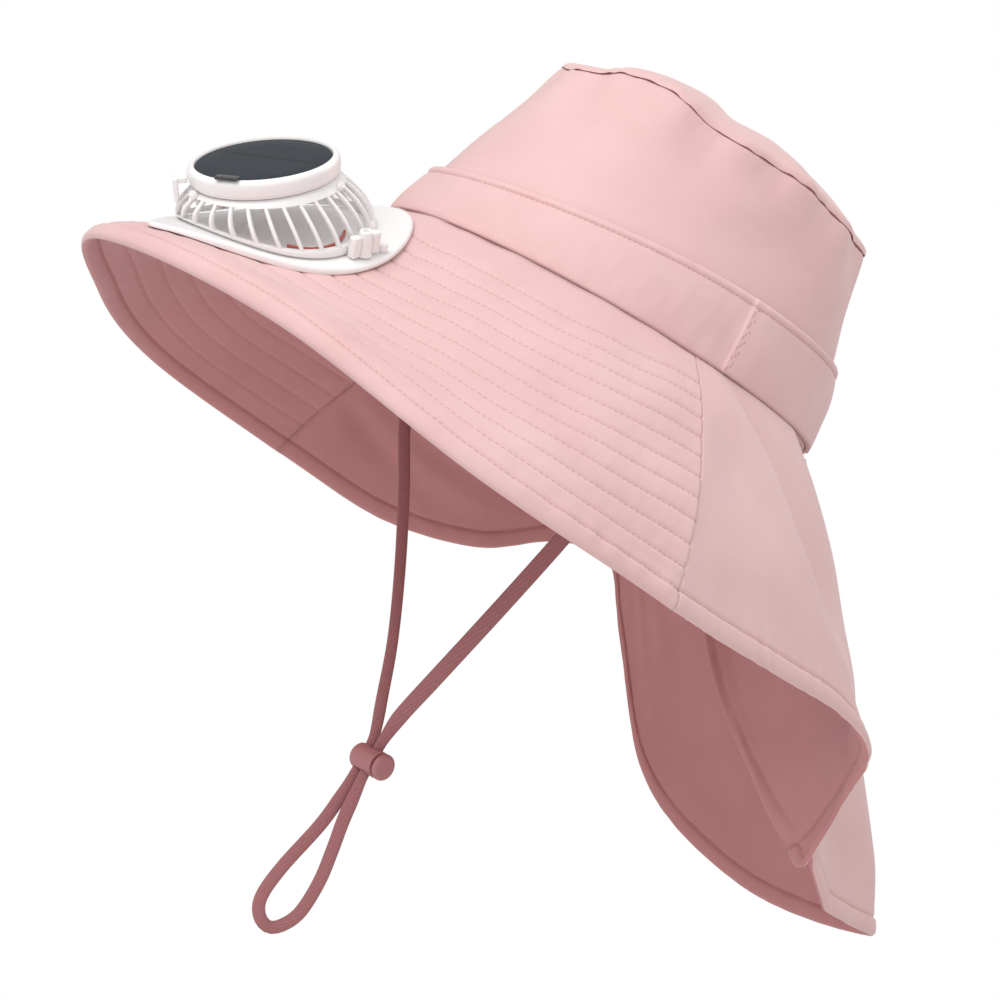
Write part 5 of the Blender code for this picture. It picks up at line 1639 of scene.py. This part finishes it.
@dataclass
class SolarFan:
    """The caged fan on the brim, with its base, housing, panel and fittings."""

    shape: HatShape
    wardrobe: Wardrobe
    angle: float = 6.4
    brim_share: float = 0.49
    heading: float = 14.0
    tilt: float = 42.6
    forward: float = 3.5
    height: float = 30.2
    base_thickness: float = 2.6
    base_clearance: float = 1.0
    base_rear_radius: float = 47.0
    base_rear_offset: float = -8.0
    base_tip_radius: float = 6.0
    base_tip_offset: float = 48.0
    cage_bottom_radius: float = 37.7
    cage_top_radius: float = 27.2
    cage_wall: float = 2.2
    cage_seat: float = 0.7
    cage_bulge: float = 3.5
    cage_ribs: int = 28
    rib_width: float = 1.5
    rib_depth: float = 2.4
    housing_radius: float = 29.0
    housing_height: float = 7.5
    panel_radius: float = 26.0
    panel_recess: float = 0.5
    panel_thickness: float = 2.2
    clearance: float = 0.3
    latch_angle: float = -63.0
    plate_foot: float = 0.45
    plate_fall: float = 1.0
    plate_edge: float = 1.3
    flank_steps: int = 30
    latch_size: tuple[float, float, float] = (3.0, 9.6, 1.4)
    latch_edge: float = 0.45
    rim_rise: float = 0.2
    boss_share: float = 0.89
    boss_angles: tuple[float, float] = (-98.0, 32.0)
    block_size: tuple[float, float, float] = (3.6, 4.0, 8.6)
    block_edge: float = 0.9
    post_place: tuple[float, float] = (2.8, -10.0)
    post_radius: float = 3.0
    peg_place: tuple[float, float] = (3.3, -20.0)

    @property
    def base_top(self) -> float:
        """Height of the base's upper face over the brim."""
        return self.base_clearance + self.base_thickness

    def seat(self, a: np.ndarray, b: np.ndarray, lift: np.ndarray) -> np.ndarray:
        """Points over the brim under the fan.

        Args:
            a: Distance sideways of the fan's middle.
            b: Distance down the slope.
            lift: Distance off the cloth.

        Returns:
            The points.
        """
        step = 0.5
        around = self.shape.brim_point(np.array([self.angle - step, self.angle + step]), self.brim_share)
        sideways = np.linalg.norm(around[1] - around[0]) / (2 * step)
        slope = self.shape.brim_point(self.angle, np.array([self.brim_share - 0.05, self.brim_share + 0.05]))
        down = np.linalg.norm(slope[1] - slope[0]) / 0.1
        a, b, lift = np.broadcast_arrays(np.asarray(a, float), np.asarray(b, float), np.asarray(lift, float))
        angle, share = self.angle + a / sideways, self.brim_share + b / down
        point = self.shape.brim_point(angle, share)
        along = self.shape.brim_point(angle, share + 0.01) - point
        across = self.shape.brim_point(angle + step, share) - point
        normal = unit(np.cross(along, across))
        normal = normal * np.where(normal[..., 2:3] < 0, -1.0, 1.0)
        return point + normal * lift[..., None]

    def frame(self) -> Matrix:
        """Frame of the fan's head: origin at the panel's top, Z up its axis."""
        h, t = math.radians(self.heading), math.radians(self.tilt)
        z_axis = Vector((math.sin(h) * math.sin(t), -math.cos(h) * math.sin(t), math.cos(t)))
        x_axis = Vector((math.cos(h), math.sin(h), 0.0))
        y_axis = z_axis.cross(x_axis)
        origin = Vector(self.seat(0.0, 0.0, 0.0)) + z_axis * self.height - y_axis * self.forward
        return axes_frame(x_axis, y_axis, z_axis, origin)

    def seat_frame(self, a: float, b: float, lift: float) -> Matrix:
        """Frame standing on the brim under the fan, Z square to the cloth."""
        point = Vector(self.seat(a, b, lift))
        z_axis = (Vector(self.seat(a, b, lift + 1.0)) - point).normalized()
        x_axis = Vector(self.seat(a + 1.0, b, lift)) - point
        y_axis = z_axis.cross(x_axis).normalized()
        return axes_frame(y_axis.cross(z_axis), y_axis, z_axis, point)

    def spokes(self, turn: np.ndarray) -> np.ndarray:
        """Unit vectors out from the fan's axis, at angles round it."""
        flat = np.stack([np.cos(turn), np.sin(turn), 0 * turn], axis=-1)
        return flat @ np.array(self.frame())[:3, :3].T

    def cage_point(self, turn: np.ndarray, share: np.ndarray, inset: float) -> np.ndarray:
        """Points of the cage's skin, from its foot to its ring under the housing."""
        turn, share = np.broadcast_arrays(np.asarray(turn, float), np.asarray(share, float))
        foot_radius, ring_radius = self.cage_bottom_radius - inset, self.cage_top_radius - inset
        across, along = foot_radius * np.cos(turn), -foot_radius * np.sin(turn)
        foot = self.seat(across, along, self.base_top + self.cage_seat)
        axis, origin = np.array(self.frame())[:3, 2:].T
        side = self.spokes(turn)
        ring = origin + side * ring_radius - axis * (self.housing_height + self.clearance)
        share = share[..., None]
        return foot * (1 - share) + ring * share + side * self.cage_bulge * 4 * share * (1 - share)

    def cage_frame(self, turn: float, share: float) -> Matrix:
        """A frame on the cage's skin, its Z pointing square out of it."""
        point = self.cage_point(turn, share, 0.0)
        up = unit(self.cage_point(turn, share + 0.01, 0.0) - point)
        across = unit(self.cage_point(turn + 0.01, share, 0.0) - point)
        out = unit(np.cross(across, up))
        return axes_frame(np.cross(up, out).tolist(), up.tolist(), out.tolist(), Vector(point))

    def build_base(self) -> Object:
        """Builds the thin drop-shaped base that follows the brim."""
        span = self.base_tip_offset - self.base_rear_offset
        lean = math.asin((self.base_rear_radius - self.base_tip_radius) / span)
        tip = np.linspace(lean, math.pi - lean, 24)
        rear = np.linspace(math.pi - lean, 2 * math.pi + lean, 90)
        rounds = []
        for turns, radius, offset in ((tip, self.base_tip_radius, self.base_tip_offset),
                                      (rear, self.base_rear_radius, self.base_rear_offset)):
            rounds.append(np.stack([radius * np.cos(turns), offset + radius * np.sin(turns)], -1))
        front, back = rounds[0], rounds[1][1:]
        opening = np.linspace(front[-1], back[0], self.flank_steps + 2)[1:-1]
        closing = np.linspace(back[-1], front[0], self.flank_steps + 2)[1:-1]
        outline = np.concatenate([front, opening, back, closing])
        edge, turns = self.plate_edge, [math.radians(t) for t in (90, 66, 44, 22, 0)]
        rounding = [1 - edge / 45.0 * (1 - math.cos(t)) for t in turns]
        share = np.array([0.0, 0.12, 0.25, 0.38, 0.5, 0.6, 0.7, 0.78, 0.85, 0.91, 0.95, *rounding])
        fall = np.array([0.0] * 11 + [edge * (1 - math.sin(t)) for t in turns])
        reach = np.hypot(outline[:, 0:1], outline[:, 1:2] - 2.0) * share
        slope = self.plate_fall * smooth_step((reach - self.cage_bottom_radius - 1.5) / 9.0)
        a, b = outline[:, 0:1] * share, outline[:, 1:2] * share
        outer = self.seat(a, b, self.base_top - fall - slope)
        inner = self.seat(a, b, self.plate_foot + fall * 0.25)
        uv = np.stack([a, b], -1)
        made = WallPiece("fan_base_plate", outer, inner, np.concatenate([uv, uv[:1]]), True).build(
            self.wardrobe.white, self.wardrobe.white)
        return place(weld(made), Slot.WHITE, ["fan_base"])

    def rib_tree(self, finish: Material) -> NodeTree:
        """Builds the tree that gives each rib line a rounded oblong section."""
        wires, source, result = geometry_tree(
            "cage_ribs", {"Width": self.rib_width * MM, "Depth": self.rib_depth * MM})
        curve = wires.add("GeometryNodeMeshToCurve", Mesh=source.outputs["Geometry"])
        outwards = wires.add("GeometryNodeInputNamedAttribute", {"data_type": "FLOAT_VECTOR"},
                             Name="outwards")
        turned = wires.add("GeometryNodeSetCurveNormal", {"mode": "FREE"}, Curve=curve.outputs[0],
                           Normal=outwards.outputs["Attribute"])
        section = wires.add("GeometryNodeCurvePrimitiveQuadrilateral", Width=source.outputs["Depth"],
                            Height=source.outputs["Width"])
        radius = wires.math("MULTIPLY", source.outputs["Width"], 0.45)
        eased = wires.add("GeometryNodeFilletCurve", {"mode": "POLY"}, Curve=section.outputs[0], Count=3,
                          Radius=radius)
        bars = wires.add("GeometryNodeCurveToMesh", Curve=turned.outputs[0], Profile_Curve=eased.outputs[0],
                         Fill_Caps=True)
        real = wires.add("GeometryNodeRealizeInstances", Geometry=bars.outputs[0])
        dressed = wires.add("GeometryNodeSetMaterial", Geometry=real.outputs[0], Material=finish)
        wires.put(result, 0, dressed.outputs[0])
        return wires.tree

    def build_cage(self) -> list[Object]:
        """Builds the cage: its foot ring, its upper ring and the ribs between."""
        turns = np.linspace(0, 2 * np.pi, 145)[:-1][:, None]
        made = []
        for name, low, high in (("cage_foot_ring", 0.0, 0.13), ("cage_upper_ring", 0.87, 1.0)):
            share = np.linspace(low, high, 5)[None, :]
            bulge = 0.35 * np.sin(np.pi * (share - low) / (high - low))
            outer = self.cage_point(turns, share, 0.0) + self.spokes(turns) * bulge[..., None]
            inner = self.cage_point(turns, share, self.cage_wall)
            uv = np.zeros((145, 5, 2))
            ring = WallPiece(name, outer, inner, uv, True).build(self.wardrobe.white, self.wardrobe.white)
            ring.data.set_sharp_from_angle(angle=math.radians(SHARP_ANGLE))
            made.append(place(ring, Slot.WHITE, ["fan_cage"]))
        spots = 2 * np.pi * (np.arange(self.cage_ribs) + 0.21) / self.cage_ribs
        share = np.linspace(0.03, 0.97, 13)
        lines = [self.cage_point(turn, share, self.rib_depth / 2) for turn in spots]
        source = lines_object("cage_ribs", lines)
        facing = np.repeat(self.spokes(spots), len(share), axis=0)
        layer = source.data.attributes.new("outwards", "FLOAT_VECTOR", "POINT")
        layer.data.foreach_set("vector", facing.ravel().astype(np.float32))
        ribs = bake("cage_ribs", source, self.rib_tree(self.wardrobe.white),
                    {"Width": self.rib_width * MM, "Depth": self.rib_depth * MM})
        made.append(place(ribs, Slot.WHITE, ["fan_cage"]))
        return made

    def build_housing(self) -> Object:
        """Builds the shallow housing with its rounded rim."""
        inner = self.panel_radius + self.clearance
        seat = -self.panel_recess - self.panel_thickness - self.clearance
        radius, depth = self.housing_radius, self.housing_height
        profile = [(0.0, seat), (inner, seat), (inner, -0.3), (inner + 0.25, 0.1), (inner + 0.6, 0.2),
                   *arc(radius - 2.2, -2.0, 2.2, 90, 0, 10), (radius, -4.0), (radius - 0.3, -5.8),
                   *arc(radius - 2.2, -depth + 1.2, 1.2, 0, -90, 5), (inner - 2.0, -depth),
                   (inner - 2.0, seat - 1.6), (0.0, seat - 1.6)]
        made = lathe("fan_housing_shell", profile, 144, self.frame(), self.wardrobe.white)
        return place(made, Slot.WHITE, ["fan_housing"])

    def build_panel(self) -> Object:
        """Builds the round panel, with a flat UV map for its lines."""
        top = -self.panel_recess
        low = top - self.panel_thickness
        radius = self.panel_radius
        profile = [(0.0, low), (radius, low), (radius, top - 0.35), (radius - 0.1, top - 0.1),
                   (radius - 0.4, top), (radius * 0.66, top), (radius * 0.33, top), (0.0, top)]
        made = lathe("solar_panel_disc", profile, 144, self.frame(), self.wardrobe.cell)
        self.flat_map(made)
        return place(made, Slot.CELL, ["solar_panel"])

    def flat_map(self, made: Object) -> None:
        """Lays a UV map in metres across the fan's own X and Y."""
        back = self.frame().inverted()
        layer = made.data.uv_layers.new(name="cloth")
        for loop in made.data.loops:
            spot = back @ (made.data.vertices[loop.vertex_index].co / MM)
            layer.data[loop.index].uv = (spot.x * MM, spot.y * MM)

    def polar(self, radius: float, degrees: float, height: float) -> Matrix:
        """A frame out from the fan's axis, its X pointing outwards."""
        a = math.radians(degrees)
        spot = Matrix.Translation((radius * math.cos(a), radius * math.sin(a), height))
        return self.frame() @ spot @ Matrix.Rotation(a, 4, "Z")

    def build_fittings(self) -> list[Object]:
        """Builds the latch, the bosses, the screw post, its blocks and the peg."""
        white, dark = self.wardrobe.white, self.wardrobe.dark
        tab_radius = (self.panel_radius + self.clearance + self.housing_radius) / 2
        tab_height = self.rim_rise + self.clearance + self.latch_size[2] / 2
        tab = rounded_box("latch_tab_moulded", self.latch_size, self.latch_edge,
                          self.polar(tab_radius, self.latch_angle, tab_height), dark)
        made = [place(tab, Slot.DARK, ["latch_tab"])]
        for node, degrees in zip(("housing_boss_left", "housing_boss_right"), self.boss_angles):
            spot = self.cage_frame(math.radians(degrees), self.boss_share)
            boss = lathe(f"{node}_turned", BOSS_PROFILE, 32, spot, white)
            made.append(place(boss, Slot.WHITE, [node]))
        stand = self.base_top + self.clearance
        across, along = self.cage_bottom_radius + self.post_place[0], self.post_place[1]
        post = lathe("screw_post_turned", POST_PROFILE, 40, self.seat_frame(across, along, stand), white)
        made.append(place(post, Slot.WHITE, ["screw_post"]))
        step = self.post_radius + self.clearance + self.block_size[1] / 2
        middle = stand + self.block_size[2] / 2
        for node, b in (("post_block_front", along + step), ("post_block_rear", along - step)):
            spot = self.seat_frame(across, b, middle)
            block = rounded_box(f"{node}_moulded", self.block_size, self.block_edge, spot, white)
            made.append(place(block, Slot.WHITE, [node]))
        spot = self.seat_frame(self.cage_bottom_radius + self.peg_place[0], self.peg_place[1], stand)
        peg = lathe("base_peg_turned", PEG_PROFILE, 32, spot, white)
        made.append(place(peg, Slot.WHITE, ["base_peg"]))
        return made

    def build(self, nodes: dict[str, Object]) -> list[Object]:
        """Builds the fan and dresses the nodes that keep their own shape.

        Args:
            nodes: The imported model's nodes.

        Returns:
            The new pieces.
        """
        for name, finish in (("cage_bracket", self.wardrobe.white), ("fan_motor", self.wardrobe.grey),
                             ("impeller", self.wardrobe.blades), ("motor_lead", self.wardrobe.red)):
            nodes[name].data.materials.clear()
            nodes[name].data.materials.append(finish)
        return [self.build_base(), *self.build_cage(), self.build_housing(), self.build_panel(),
                *self.build_fittings()]


@dataclass
class Studio:
    """The camera at the photograph's angle, soft lights and a pale floor."""

    wardrobe: Wardrobe
    camera_place: tuple[float, float, float] = (1.4102, -0.7156, -0.2148)
    camera_right: tuple[float, float, float] = (0.431, 0.7608, 0.4852)
    camera_up: tuple[float, float, float] = (-0.1537, -0.4679, 0.8703)
    camera_back: tuple[float, float, float] = (0.8892, -0.4497, -0.0847)
    lens: float = 142.9
    sensor: float = 36.0
    floor_height: float = -0.45
    floor_radius: float = 1.0
    world_light: float = 0.62

    def build_camera(self) -> Object:
        """Makes the camera and sets it on the scene."""
        data = bpy.data.cameras.new("camera")
        data.lens = self.lens
        data.sensor_width = self.sensor
        data.clip_end = 50.0
        camera = link_object("camera", data)
        axes = [Vector(v).normalized() for v in (self.camera_right, self.camera_up, self.camera_back)]
        camera.matrix_world = Matrix.Translation(self.camera_place) @ Matrix(axes).transposed().to_4x4()
        bpy.context.scene.camera = camera
        return camera

    def build_world(self) -> None:
        """Makes a world that is white to the eye and softer as a light."""
        world = bpy.data.worlds.new("studio")
        world.use_nodes = True
        bpy.context.scene.world = world
        wires = Wires(world.node_tree)
        plain = world.node_tree.nodes["Background"]
        plain.inputs["Color"].default_value = (1.0, 1.0, 1.0, 1.0)
        path = wires.add("ShaderNodeLightPath")
        strength = wires.math("MULTIPLY_ADD", path.outputs["Is Camera Ray"], 1.0 - self.world_light,
                              self.world_light)
        wires.put(plain, "Strength", strength)

    def add_light(self, name: str, spot: Vector, power: float, size: float) -> Object:
        """Adds a square soft light aimed at the hat."""
        data = bpy.data.lights.new(name, "AREA")
        data.energy = power
        data.size = size
        light = link_object(name, data)
        light.location = spot
        aim = (Vector((0.0, 0.0, -0.05)) - spot).to_track_quat("-Z", "Y")
        light.rotation_euler = aim.to_euler()
        return light

    def build_lights(self) -> None:
        """Places a broad key above the photograph's frame and weak fills."""
        right, up, back = (Vector(v) for v in (self.camera_right, self.camera_up, self.camera_back))
        self.add_light("key", up * 1.3 + back * 0.8 - right * 0.5, 17.0, 1.3)
        self.add_light("fill", back * 1.5 + right * 0.5 + up * 0.2, 4.5, 1.4)
        self.add_light("rim", up * 0.7 + right * 1.2 - back * 0.5, 4.0, 0.9)

    def build_floor(self) -> Object:
        """Makes the round floor."""
        turns = np.linspace(0, 2 * np.pi, 97)[:-1]
        rim = np.stack([np.cos(turns), np.sin(turns), 0 * turns], -1) * self.floor_radius / MM
        rim[:, 2] = self.floor_height / MM
        centre = np.array([[0.0, 0.0, self.floor_height / MM]])
        faces = [(k, (k + 1) % 96, 96) for k in range(96)]
        floor = new_mesh_object("floor", np.concatenate([rim, centre]), faces, [self.wardrobe.floor])
        return floor

    def build(self) -> None:
        """Sets up the studio and plain colour handling."""
        self.build_camera()
        self.build_world()
        self.build_lights()
        self.build_floor()
        bpy.context.scene.view_settings.view_transform = "Standard"


def main() -> None:
    """Builds the studio and every piece of the hat, in order."""
    logging.basicConfig(level=logging.INFO, format="%(name)s: %(message)s")
    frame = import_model()
    wardrobe = Wardrobe()
    Studio(wardrobe).build()
    shape = HatShape()
    needle = Needle()
    hem = Hem()
    ChinStrap(wardrobe).build()
    Crown(shape, wardrobe, needle).build()
    Brim(shape, wardrobe, needle, hem).build()
    NeckFlap("left_flap", LEFT_FLAP_ROWS, 0.0, 51, shape, wardrobe, needle, hem).build()
    NeckFlap("right_flap", RIGHT_FLAP_ROWS, 3.4, 61, shape, wardrobe, needle, hem).build()
    SolarFan(shape, wardrobe).build(frame["nodes"])


if __name__ == "__main__":
    main()
